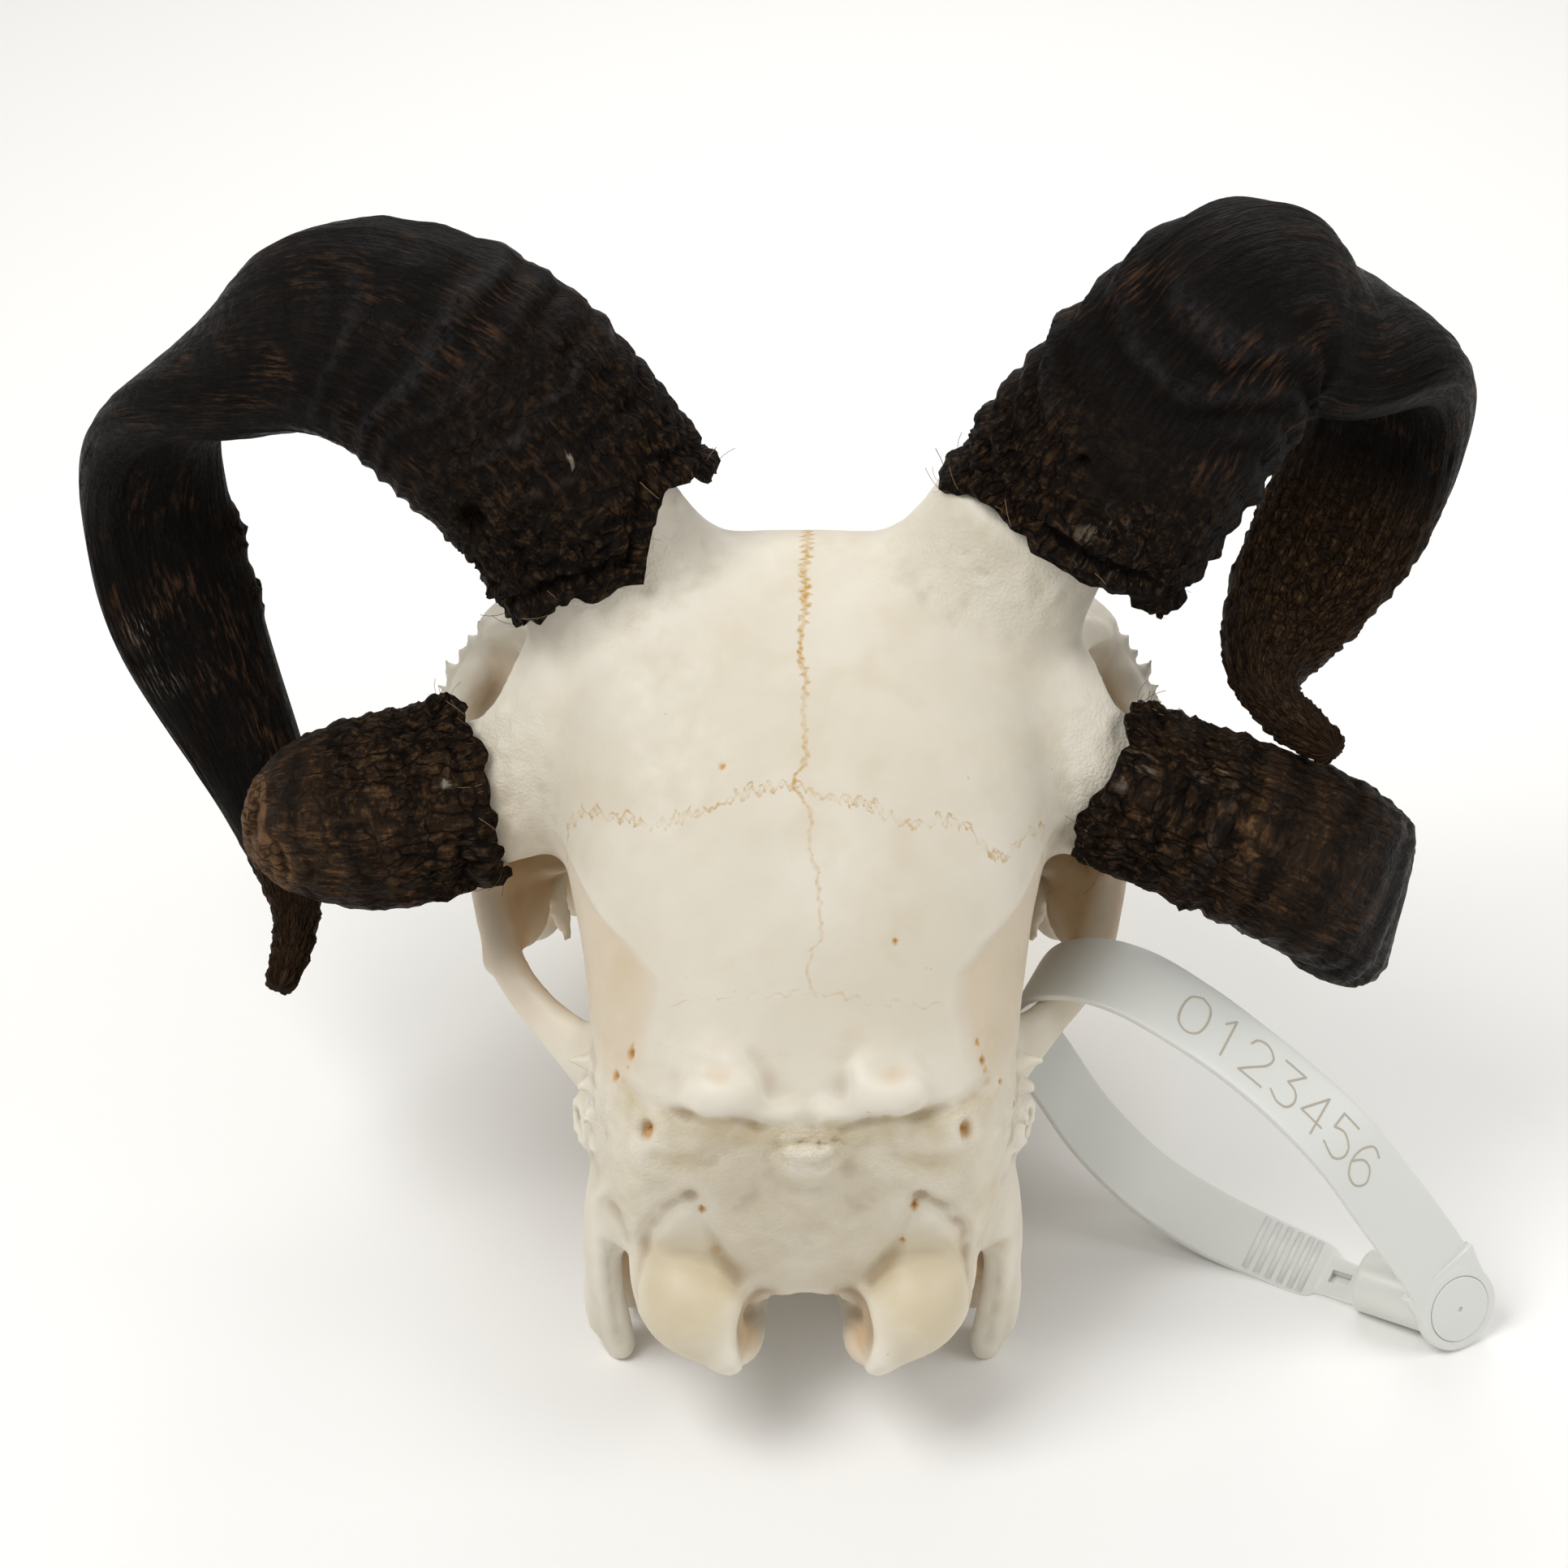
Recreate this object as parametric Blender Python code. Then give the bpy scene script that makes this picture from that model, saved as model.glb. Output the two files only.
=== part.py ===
"""A four-horned sheep's skull without its lower jaw, life size, resting on its cheek teeth and jugular processes.

Metres, +Z up. The nose points along +Y, and the sheep's left side is at -X. Lengths are written in millimetres
and turned to metres by MM. The skull is first modelled with its midline at x = 0 and its resting plane at z = 0,
and the last step slides everything so that the origin lies under the middle of its box.
"""

import math

import bmesh
import bpy
from mathutils import Euler, Matrix, Vector

MM = 0.001
GAP = 0.3  # between one node and the next
FIRST_VOXEL = 1.6  # grid on which the bone's large forms are melted together
FIRST_SMOOTHING = 8
BONE_VOXEL = 1.15  # grid for the whole bone, once its small forms are added
BONE_SMOOTHING = 4
BONE_TRIANGLES = 6200
SIDES = (-1, 1)
SHARP_ANGLE = 0.7
NARROWER_CHEEK = 1.8
SOCKET_ROOM = 7  # how much wider than its horn the cut in the bone is, so that all of the bone's edge clears it

# Midline points of the bone, as (y, z).
BREGMA = (14.0, 102.6)
BROW = (56.0, 121.8)
NASION = (88.0, 98.0)

# Each station of a horn: centre x, y, z, width and thickness of its section, and the direction of the width.
UPPER_LEFT_HORN = [
    (-28.6, 52.4, 121.0, 39.5, 25, (0.82, 0.33, 0.46)),
    (-37.4, 51.6, 137.0, 39.5, 25, (0.79, 0.36, 0.50)),
    (-47.4, 53.2, 147.8, 40.0, 24, (0.61, 0.46, 0.65)),
    (-60.0, 56.9, 154.6, 37.0, 22, (0.41, 0.57, 0.71)),
    (-73.4, 61.3, 153.9, 32.5, 20, (0.00, 0.80, 0.60)),
    (-85.2, 64.8, 147.5, 29.0, 16, (0.10, 0.95, 0.30)),
    (-96.0, 71.3, 138.4, 27.5, 12.5, (0.30, 0.92, -0.23)),
    (-103.6, 77.9, 125.6, 24.5, 11, (0.67, 0.70, -0.25)),
    (-104.6, 80.2, 109.9, 24.0, 11, (0.95, 0.27, -0.13)),
    (-101.2, 76.0, 94.2, 24.5, 12, (0.93, 0.34, 0.13)),
    (-95.6, 70.4, 81.4, 20.5, 11, (0.90, 0.37, 0.25)),
    (-88.6, 62.4, 68.6, 15.5, 10, (0.91, 0.25, 0.34)),
    (-84.4, 54.6, 59.4, 11.0, 9, (0.95, 0.18, 0.24)),
    (-82.2, 46.0, 54.6, 7.2, 7, (1.00, 0.03, 0.04)),
    (-82.5, 38.5, 52.6, 6.0, 6, (0.99, -0.09, -0.12)),
    (-83.7, 32.6, 51.6, 4.4, 4.4, (0.96, -0.17, -0.23)),
]
UPPER_RIGHT_HORN = [
    (39.0, 52.0, 123.2, 40.5, 26, (-0.92, 0.25, 0.31)),
    (48.7, 51.2, 139.8, 40.5, 26, (-0.87, 0.29, 0.41)),
    (59.2, 54.1, 154.2, 37.5, 25, (-0.80, 0.35, 0.49)),
    (69.2, 58.3, 160.6, 35.6, 21, (-0.51, 0.54, 0.67)),
    (79.6, 62.7, 153.0, 31.0, 16, (0.10, 0.96, 0.27)),
    (89.8, 70.1, 147.6, 28.0, 14.5, (-0.25, 0.95, -0.19)),
    (93.2, 75.7, 136.3, 26.5, 12, (-0.60, 0.74, -0.29)),
    (90.6, 76.9, 122.4, 26.5, 12, (-0.88, 0.47, 0.04)),
    (85.2, 74.4, 110.0, 26.5, 13, (-0.87, 0.37, 0.34)),
    (77.0, 66.0, 100.5, 20.5, 11, (-0.87, 0.29, 0.40)),
    (72.4, 55.0, 97.2, 13.5, 9, (-0.95, 0.18, 0.26)),
    (73.4, 43.3, 97.9, 8.2, 7, (-0.80, -0.35, -0.49)),
    (76.4, 34.2, 99.9, 7.2, 6.2, (-0.80, -0.35, -0.49)),
    (79.2, 28.4, 100.6, 5.4, 4.6, (-0.80, -0.35, -0.49)),
]
LOWER_LEFT_HORN = [
    (-49.0, 36.8, 87.3, 28.0, 19, (-0.24, 0.57, 0.79)),
    (-59.1, 32.3, 87.0, 31.0, 20, (0.00, 0.58, 0.81)),
    (-69.2, 31.8, 85.4, 30.0, 19, (0.00, 0.58, 0.81)),
    (-78.0, 34.5, 82.6, 24.6, 17, (0.10, 0.58, 0.81)),
    (-83.2, 39.0, 79.4, 17.4, 12, (0.10, 0.66, 0.75)),
    (-85.6, 42.6, 77.6, 9.6, 7, (0.10, 0.66, 0.75)),
]
LOWER_RIGHT_HORN = [
    (46.5, 37.3, 88.2, 27.0, 19, (0.42, 0.53, 0.74)),
    (57.4, 31.2, 87.4, 27.0, 20, (0.37, 0.54, 0.75)),
    (71.0, 27.5, 83.4, 28.5, 20, (0.37, 0.54, 0.75)),
    (82.4, 29.0, 75.9, 29.0, 18, (0.37, 0.58, 0.72)),
    (88.8, 36.9, 64.4, 27.6, 13.6, (0.25, 0.64, 0.72)),
    (90.2, 50.8, 54.6, 21.4, 11.4, (0.10, 0.66, 0.74)),
    (88.1, 63.4, 46.7, 15.0, 10, (0.00, 0.58, 0.81)),
    (83.4, 70.9, 42.1, 7.0, 6, (0.00, 0.58, 0.81)),
]

# The tag's band, as centre x, y, z and width, from its button over the arch and back along the floor.
TAG_AXIS = (0.447, 0.874, 0.188)
TAG_THICKNESS = 1.3
TAG_HEAD_RADIUS = 7.2
TAG_LOOP = [
    (105.1, 4.7, 6.9, 14.0),
    (100.2, 5.8, 16.2, 14.4),
    (92.0, 7.6, 27.9, 14.6),
    (84.9, 9.5, 37.4, 13.6),
    (76.6, 12.1, 45.4, 13.2),
    (68.8, 14.9, 51.4, 13.2),
    (61.1, 17.7, 56.2, 13.4),
    (52.2, 22.5, 60.3, 13.8),
    (44.6, 26.6, 60.2, 13.5),
    (38.2, 30.6, 55.4, 13.0),
    (35.6, 34.2, 46.4, 13.0),
    (37.0, 36.4, 37.4, 13.0),
    (41.6, 36.2, 28.8, 13.0),
    (48.1, 35.2, 18.4, 13.0),
    (57.3, 32.7, 8.9, 13.0),
    (67.4, 28.8, 3.6, 13.0),
    (77.0, 24.3, 1.3, 12.6),
    (84.7, 19.6, 0.5, 11.0),
    (91.4, 15.4, 0.5, 7.6),
    (97.6, 11.2, 1.7, 6.4),
]


def clear_scene():
    for old in list(bpy.data.objects):
        bpy.data.objects.remove(old, do_unlink=True)


def smooth_path(stations, steps):
    """Catmull-Rom values through rows of numbers, with this many steps between one row and the next."""
    rows = [list(row) for row in stations]
    ends = [rows[0]] + rows + [rows[-1]]
    out = []
    for i in range(1, len(ends) - 2):
        a, b, c, d = ends[i - 1 : i + 3]
        for k in range(steps):
            t = k / steps
            out.append([
                0.5 * (2 * q + (r - p) * t + (2 * p - 5 * q + 4 * r - s) * t * t
                       + (3 * q - p - 3 * r + s) * t ** 3)
                for p, q, r, s in zip(a, b, c, d)
            ])
    out.append(rows[-1])
    return out


def closed_mesh(rings):
    """A bmesh skinned over rings of equal count, with a point fan over each end."""
    bm = bmesh.new()
    rows = [[bm.verts.new(point * MM) for point in ring] for ring in rings]
    count = len(rows[0])
    for lower, upper in zip(rows, rows[1:]):
        for j in range(count):
            k = (j + 1) % count
            bm.faces.new((lower[j], lower[k], upper[k], upper[j]))
    for row, turn in ((rows[0], True), (rows[-1], False)):
        middle = bm.verts.new(sum((v.co for v in row), Vector()) / count)
        for j in range(count):
            pair = (row[j], row[(j + 1) % count])
            bm.faces.new((middle, pair[1], pair[0]) if turn else (middle, *pair))
    bmesh.ops.recalc_face_normals(bm, faces=bm.faces)
    return bm


def put(name, bm):
    mesh = bpy.data.meshes.new(name)
    bm.to_mesh(mesh)
    bm.free()
    obj = bpy.data.objects.new(name, mesh)
    bpy.context.scene.collection.objects.link(obj)
    return obj


def power(value, exponent):
    return math.copysign(abs(value) ** exponent, value)


def sweep(name, stations, sides=16, steps=3, square=2.0, caps=(0, 0)):
    """A tube through stations (x, y, z, width, thickness, width direction), its sections squarer as square grows.
    caps says how far each end bulges, as a share of the tube's half thickness there."""
    rows = smooth_path([(*row[:5], *row[5]) for row in stations], steps)
    centres = [Vector(row[:3]) for row in rows]
    rings = []
    for i, row in enumerate(rows):
        along = (centres[min(i + 1, len(rows) - 1)] - centres[max(i - 1, 0)]).normalized()
        wide = Vector(row[5:8])
        wide = (wide - along * wide.dot(along)).normalized()
        thick = along.cross(wide)
        ring = []
        for j in range(sides):
            angle = 2 * math.pi * (j + (0.5 if sides == 4 else 0)) / sides
            ring.append(
                centres[i]
                + wide * row[3] / 2 * power(math.cos(angle), 2 / square)
                + thick * row[4] / 2 * power(math.sin(angle), 2 / square)
            )
        rings.append(ring)
    for first, step, bulge in ((0, -1, caps[0]), (-1, 1, caps[1])):
        if not bulge:
            continue
        ring = rings[first]
        middle = sum(ring, Vector()) / sides
        out = (centres[first] - centres[first - step]).normalized()
        reach = min(rows[first][3], rows[first][4]) / 2 * bulge
        for turn in (30, 60, 80):
            lift = out * reach * math.sin(math.radians(turn))
            shrink = math.cos(math.radians(turn))
            new = [middle + (point - middle) * shrink + lift for point in ring]
            if step == 1:
                rings.append(new)
            else:
                rings.insert(0, new)
    return put(name, closed_mesh(rings))


def rod(name, points, radii, **options):
    """A round tube through points, where a bone is a plain bar."""
    stations = [(*p, 2 * r, 2 * r, (0.31, 0.27, 0.91)) for p, r in zip(points, radii)]
    return sweep(name, stations, caps=(1, 1), **options)


def egg(name, centre, radii, turn=(0, 0, 0)):
    """An ellipsoid, turned by degrees about X, Y and Z."""
    bm = bmesh.new()
    bmesh.ops.create_uvsphere(bm, u_segments=24, v_segments=16, radius=1)
    matrix = (
        Matrix.Translation(Vector(centre) * MM)
        @ Euler([math.radians(a) for a in turn]).to_matrix().to_4x4()
        @ Matrix.Diagonal((*[r * MM for r in radii], 1))
    )
    bmesh.ops.transform(bm, matrix=matrix, verts=bm.verts)
    return put(name, bm)


def midline_loft(name, rings, count=32, steps=4):
    """A body skinned over cross-sections, each from a dorsal to a ventral midline point, with half-widths above and
    below and a squareness for the roof and the floor."""
    rows = smooth_path([(*top, *bottom, *rest) for top, bottom, *rest in rings], steps)
    skin = []
    for top_y, top_z, low_y, low_z, wide_top, wide_low, roof, floor in rows:
        middle = Vector((0, (top_y + low_y) / 2, (top_z + low_z) / 2))
        half = Vector((0, (top_y - low_y) / 2, (top_z - low_z) / 2))
        ring = []
        for j in range(count):
            angle = 2 * math.pi * j / count
            rise = math.sin(angle)
            square = roof if rise > 0 else floor
            share = power(rise, 2 / square)
            width = wide_top + (wide_low - wide_top) * (1 - share) / 2
            ring.append(middle + half * share + Vector((width * power(math.cos(angle), 2 / square), 0, 0)))
        skin.append(ring)
    return put(name, closed_mesh(skin))


def both_sides(make, narrower=0):
    """make(side, mirror) for each side, where mirror moves a point or a direction to that side. This sheep's right
    cheek stands out less than its left one, by what narrower gives."""
    pieces = []
    for side in SIDES:
        def mirror(point, side=side):
            inward = narrower if side > 0 and point[0] > 10 else 0
            return (side * (point[0] - inward), *point[1:])
        made = make("left" if side < 0 else "right", mirror)
        pieces += made if isinstance(made, list) else [made]
    return pieces


def apply_modifiers(obj):
    graph = bpy.context.evaluated_depsgraph_get()
    mesh = bpy.data.meshes.new_from_object(obj.evaluated_get(graph))
    obj.modifiers.clear()
    obj.data = mesh


def boolean(obj, others, operation, solver="EXACT"):
    """Joins or cuts with a collection of closed pieces, which are removed afterwards."""
    group = bpy.data.collections.new(obj.name + "_pieces")
    for other in others:
        for holder in list(other.users_collection):
            holder.objects.unlink(other)
        group.objects.link(other)
    modifier = obj.modifiers.new(operation.title(), "BOOLEAN")
    modifier.operation = operation
    modifier.operand_type = "COLLECTION"
    modifier.collection = group
    modifier.solver = solver
    apply_modifiers(obj)
    for other in others:
        bpy.data.objects.remove(other, do_unlink=True)
    bpy.data.collections.remove(group)


def melt(obj, voxel, smoothing):
    """Melts joined forms into one skin and softens the creases between them."""
    remesh = obj.modifiers.new("Remesh", "REMESH")
    remesh.mode = "VOXEL"
    remesh.voxel_size = voxel * MM
    smooth = obj.modifiers.new("Smooth", "SMOOTH")
    smooth.factor = 0.5
    smooth.iterations = smoothing
    apply_modifiers(obj)


def braincase():
    return midline_loft("braincase", [
        ((-16.5, 60), (-14.5, 29), 20, 19, 2.6, 2.6),
        ((-14.5, 67), (-11.5, 23), 28, 26, 2.8, 2.6),
        ((-6, 79), (0, 17), 33.5, 28.5, 2.8, 2.4),
        ((3, 91), (14, 18), 37, 27, 2.8, 2.3),
        (BREGMA, (30, 26), 42, 25, 2.7, 2.2),
        ((27, 112), (44, 33), 50, 20, 2.4, 2.2),
        ((40, 119.5), (56, 37), 57, 16, 2.2, 2.3),
        (BROW, (66, 38), 60, 15, 2.2, 2.4),
        ((70, 111.0), (74, 44), 44, 16, 2.2, 2.4),
    ])


def face():
    return midline_loft("face", [
        ((62, 111), (72, 34), 22, 16, 2.6, 2.6),
        ((75, 103.5), (76, 17), 21, 25, 2.7, 3.0),
        (NASION, (84, 14), 19, 29, 2.7, 3.2),
        ((110, 85), (106, 14), 16.5, 29, 2.7, 3.2),
        ((132, 70.5), (128, 16), 14.5, 23.5, 2.7, 2.8),
        ((150, 58), (147, 18.5), 12.5, 16, 2.7, 2.4),
    ])


def brow_plate():
    """The frontals, which spread from the braincase to the brow ridges over the orbits."""
    def half(side, mirror):
        return sweep("brow_" + side, [
            (*mirror((4, 42, 101)), 48, 22, mirror((0, 0.90, 0.42))),
            (*mirror((20, 44, 102)), 50, 22, mirror((0.05, 0.90, 0.42))),
            (*mirror((32, 48, 98.5)), 42, 18, mirror((0.1, 0.90, 0.42))),
            (*mirror((40.5, 52, 94.5)), 32, 9, mirror((0.1, 0.90, 0.36))),
        ], sides=20, caps=(0.7, 0.7))
    return both_sides(half)


def horn_cores():
    def upper(side, mirror):
        return sweep("upper_core_" + side, [
            (*mirror((14, 50, 95)), 44, 36, mirror((-0.80, 0.33, 0.46))),
            (*mirror((23.5, 51.5, 107)), 38, 30, mirror((-0.82, 0.33, 0.46))),
            (*mirror((30.8, 52.6, 119.5)), 31, 22.5, mirror((-0.82, 0.33, 0.46))),
            (*mirror((35.2, 52.8, 129)), 30, 21, mirror((-0.82, 0.33, 0.46))),
        ], sides=20)

    def lower(side, mirror):
        return sweep("lower_core_" + side, [
            (*mirror((16, 44, 98)), 46, 34, mirror((0.36, 0.55, 0.74))),
            (*mirror((33, 41, 94)), 36, 25, mirror((0.36, 0.55, 0.74))),
            (*mirror((46, 37.3, 88)), 26, 17.5, mirror((0.36, 0.55, 0.74))),
            (*mirror((53, 35, 86)), 24, 16, mirror((0.36, 0.55, 0.74))),
        ], sides=20)
    return both_sides(upper) + both_sides(lower)


def orbit_rims():
    """The ring of bone round each eye, whose front edge flares furthest out."""
    ring = [
        (42.5, 52, 97), (42.5, 60, 98), (44.5, 69, 95), (49, 71, 91.5), (54.0, 68, 86), (56, 72, 79),
        (56, 74.5, 70), (54.5, 68, 62.5), (52.5, 58, 60), (50, 48.5, 67), (48, 45.2, 78), (45.5, 46.5, 89),
        (42.5, 52, 97), (42.5, 60, 98),
    ]

    def half(side, mirror):
        points = [mirror(p) for p in ring]
        return rod("rim_" + side, points, [2.9] * len(points), sides=10)
    return both_sides(half, NARROWER_CHEEK)


def cheeks():
    """Lacrimal and zygomatic bones in front of and under the orbit, and the arch behind it."""
    def half(side, mirror):
        up = mirror((0.05, 0.12, 1))
        return [
            sweep("cheek_" + side, [
                (*mirror((41, 50, 80)), 38, 15, up),
                (*mirror((42, 62, 78)), 44, 28, up),
                (*mirror((41, 75, 75)), 44, 30, up),
                (*mirror((33, 88, 69)), 44, 28, up),
                (*mirror((26, 101, 60)), 42, 22, up),
                (*mirror((21, 115, 48)), 34, 17, up),
                (*mirror((17, 130, 41)), 26, 12, up),
                (*mirror((12, 143, 38)), 18, 8, up),
            ], sides=20, square=2.5, caps=(0.7, 0.7)),
            sweep("facial_crest_" + side, [
                (*mirror((53, 68, 60)), 12, 9, up),
                (*mirror((47, 84, 54)), 14, 12, up),
                (*mirror((37, 99, 45)), 13, 13, up),
                (*mirror((29, 113, 35)), 12, 11, up),
                (*mirror((25, 121, 30)), 9, 8, up),
            ], caps=(1, 1)),
            egg("lacrimal_bulla_" + side, mirror((38, 60, 50)), (10, 13, 7)),
            egg("malar_" + side, mirror((45.5, 67, 45)), (6.5, 9, 11)),
            sweep("arch_" + side, [
                (*mirror((52.5, 62, 60)), 9, 7, mirror((-0.3, 0, 1))),
                (*mirror((50.8, 47, 58.4)), 10, 6.4, mirror((-0.3, 0, 1))),
                (*mirror((47.2, 33, 54.6)), 9, 5.6, mirror((-0.4, 0, 1))),
                (*mirror((40.4, 23.6, 51.2)), 9, 5.6, mirror((-0.4, 0, 1))),
                (*mirror((31.8, 15.6, 47.8)), 12.5, 8.6, mirror((-0.4, 0, 1))),
                (*mirror((26, 11, 46)), 18, 12, mirror((-0.4, 0, 1))),
            ], caps=(0.6, 0.6)),
            sweep("postorbital_" + side, [
                (*mirror((42, 43, 92)), 13, 10, mirror((1, 0, 0))),
                (*mirror((46.5, 45, 79)), 10, 7, mirror((1, 0, 0))),
                (*mirror((48, 47, 67)), 9.5, 7, mirror((1, 0, 0))),
                (*mirror((50, 51, 59)), 10, 8, mirror((1, 0, 0))),
            ], caps=(0.6, 0.6)),
        ]
    return both_sides(half, NARROWER_CHEEK)


def occiput():
    """Condyles, jugular processes, ear region and the knobs on the nuchal crest."""
    def half(side, mirror):
        return [
            rod("condyle_" + side, [
                mirror(p) for p in
                ((22, 0, 38), (20.5, -8, 33), (18.0, -13.5, 28), (14.4, -18, 25), (11.5, -21.6, 22.6))
            ], [4.5, 6.8, 8.4, 7.2, 3.8]),
            rod("condyle_base_" + side, [
                mirror(p) for p in ((18, -8, 25), (12.5, -6, 19), (9, 4, 16))
            ], [6.5, 6, 5]),
            rod("condyle_wall_" + side, [
                mirror(p) for p in ((11.5, -19, 20.5), (10.2, -13, 17), (9.8, -5, 14.5), (9.5, 4, 13.5))
            ], [3.0, 3.8, 3.9, 4.0]),
            sweep("jugular_" + side, [
                (*mirror((26, 4, 46)), 24, 11, (0, 1, 0)),
                (*mirror((29.8, 1, 35)), 16, 8.5, (0, 1, 0)),
                (*mirror((31.8, 1, 23)), 12, 6.0, mirror((0.2, 1, 0))),
                (*mirror((31.0, 2, 11)), 9.5, 5.4, mirror((0.3, 1, 0))),
                (*mirror((29.8, 2.6, 0.6)), 8, 5.6, mirror((0.3, 1, 0))),
            ], caps=(1, 0.5)),
            rod("jugular_lobe_" + side, [mirror((31.6, 1, 26)), mirror((33.0, 1.6, 14)), mirror((33.2, 3, 5))],
                [2.6, 2.3, 1.9]),
            egg("web_" + side, mirror((25, -1, 35)), (8, 8, 8)),
            rod("hyoid_socket_" + side, [mirror((25, 11, 36)), mirror((27.6, 11, 22)), mirror((28.2, 11, 11)),
                                         mirror((28, 10.5, 4))], [5, 4, 3.6, 2.6]),
            egg("mastoid_" + side, mirror((27.2, 4, 49.5)), (6.1, 13, 13)),
            rod("ear_" + side, [mirror((24, 12, 42)), mirror((33, 8, 44))], [7, 4.6]),
            egg("bulla_" + side, mirror((17, 16, 26)), (6.5, 10, 10)),
            egg("tympanic_" + side, mirror((25.5, 12, 20)), (4, 6, 8.5)),
            rod("muscular_" + side, [mirror((20, 20, 24)), mirror((22, 26, 15))], [3.5, 2]),
            egg("knob_" + side, mirror((12.5, -12.5, 67)), (6.5, 4.5, 4.5)),
            sweep("crest_" + side, [
                (*mirror((2, -14, 64)), 7, 6, (0, -0.7, 1)),
                (*mirror((15, -11.5, 63.5)), 7, 6, (0, -0.7, 1)),
                (*mirror((27, -5, 57)), 7, 6, (0, -0.7, 1)),
                (*mirror((31, 3, 50)), 7, 6, (0, -0.7, 1)),
            ], caps=(1, 1)),
        ]
    return [egg("protuberance", (0, -15.5, 58), (5, 3, 6))] + both_sides(half, NARROWER_CHEEK / 4)


def base_and_palate():
    def half(side, mirror):
        return [
            sweep("pterygoid_" + side, [
                (*mirror((10, 42, 40)), 22, 5, (0, 1, -0.2)),
                (*mirror((11, 51, 31)), 17, 4.4, (0, 1, -0.4)),
                (*mirror((12, 55, 22)), 10, 4.0, (0, 1, -0.5)),
                (*mirror((12.5, 56, 16)), 6, 3.6, (0, 1, -0.5)),
            ], caps=(1, 1)),
            rod("sphenoid_" + side, [mirror((16, 34, 36)), mirror((24, 42, 46)), mirror((28, 48, 56))], [6, 5, 4]),
            egg("tuber_" + side, mirror((24, 76, 28)), (9, 9, 15)),
        ]
    return both_sides(half)


def cheek_teeth():
    """Three premolars and three molars a side. The row climbs towards the nose, and the last molar meets the floor."""
    lengths = (16.5, 14.5, 12.5, 9.0, 8.5, 8.0)
    widths = (11, 11.5, 11, 9.5, 8.5, 7.5)
    hidden_root = 10
    crown = 13

    def half(side, mirror):
        teeth = []
        y = 73.0
        for i, (length, width) in enumerate(zip(lengths, widths)):
            middle = y + length / 2
            low = 0.075 * (middle - 81)
            x = 26.5 - 0.0016 * (middle - 80) ** 2 - 0.02 * (middle - 80)
            lobes = ((0.54, -0.25), (0.54, 0.25)) if i < 3 else ((1.06, 0),)
            for part, (share, offset) in enumerate(lobes):
                at = middle + offset * length
                teeth.append(sweep(f"tooth_{side}_{i}_{part}", [
                    (*mirror((x, at, low - 0.8)), width, length * share, (1, 0, 0)),
                    (*mirror((x - 0.4, at, low + crown + hidden_root)), width, length * share, (1, 0, 0)),
                ], sides=8, steps=1, square=3.4))
            y += length
        return teeth
    return both_sides(half)


def nasal_stations(mirror):
    return [
        (*mirror((6.4, 84, 97.8)), 12.2, 4.4, mirror((1, 0, -0.22))),
        (*mirror((7.6, 96, 91.2)), 14.6, 4.6, mirror((1, 0, -0.24))),
        (*mirror((8.2, 112, 82.4)), 15.8, 4.4, mirror((1, 0, -0.26))),
        (*mirror((7.6, 132, 69.2)), 14.6, 4.2, mirror((1, 0, -0.3))),
        (*mirror((6.6, 152, 55.6)), 12.4, 3.8, mirror((1, 0, -0.35))),
        (*mirror((5.2, 166, 46.6)), 9, 3.4, mirror((1, 0, -0.35))),
        (*mirror((3.6, 173.5, 42)), 4.6, 3, mirror((1, 0, -0.35))),
    ]


def incisives():
    """The two toothless bones at the front of the upper jaw."""
    def half(side, mirror):
        return [
            sweep("incisive_body_" + side, [
                (*mirror((15, 138, 24)), 9, 8, (1, 0, 0)),
                (*mirror((14.5, 150, 23.5)), 8.5, 7, (1, 0, 0)),
                (*mirror((13.5, 164, 21.5)), 8, 6, (1, 0, 0)),
                (*mirror((11.5, 178, 20)), 8, 5.5, (1, 0, 0)),
                (*mirror((9, 190, 19.5)), 9.5, 5, (1, 0, 0)),
                (*mirror((6, 196, 19.8)), 8, 4.5, (1, 0, 0)),
            ], caps=(1, 1)),
            sweep("incisive_wing_" + side, [
                (*mirror((13.5, 138, 42)), 22, 5, mirror((-0.3, 0.2, 1))),
                (*mirror((14, 150, 38)), 18, 4.5, mirror((-0.25, 0.4, 1))),
                (*mirror((13.5, 164, 31)), 13, 4.0, mirror((-0.2, 0.5, 1))),
                (*mirror((12, 178, 24)), 8, 4.0, mirror((-0.2, 0.5, 1))),
            ], caps=(1, 1)),
            sweep("incisive_tongue_" + side, [
                (*mirror((3.6, 138, 22)), 5, 5, (1, 0, 0)),
                (*mirror((3.6, 166, 19)), 4.6, 3.8, (1, 0, 0)),
                (*mirror((5.2, 192, 19.4)), 6, 4, (1, 0, 0)),
            ], caps=(1, 1)),
        ]
    return both_sides(half)


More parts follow.
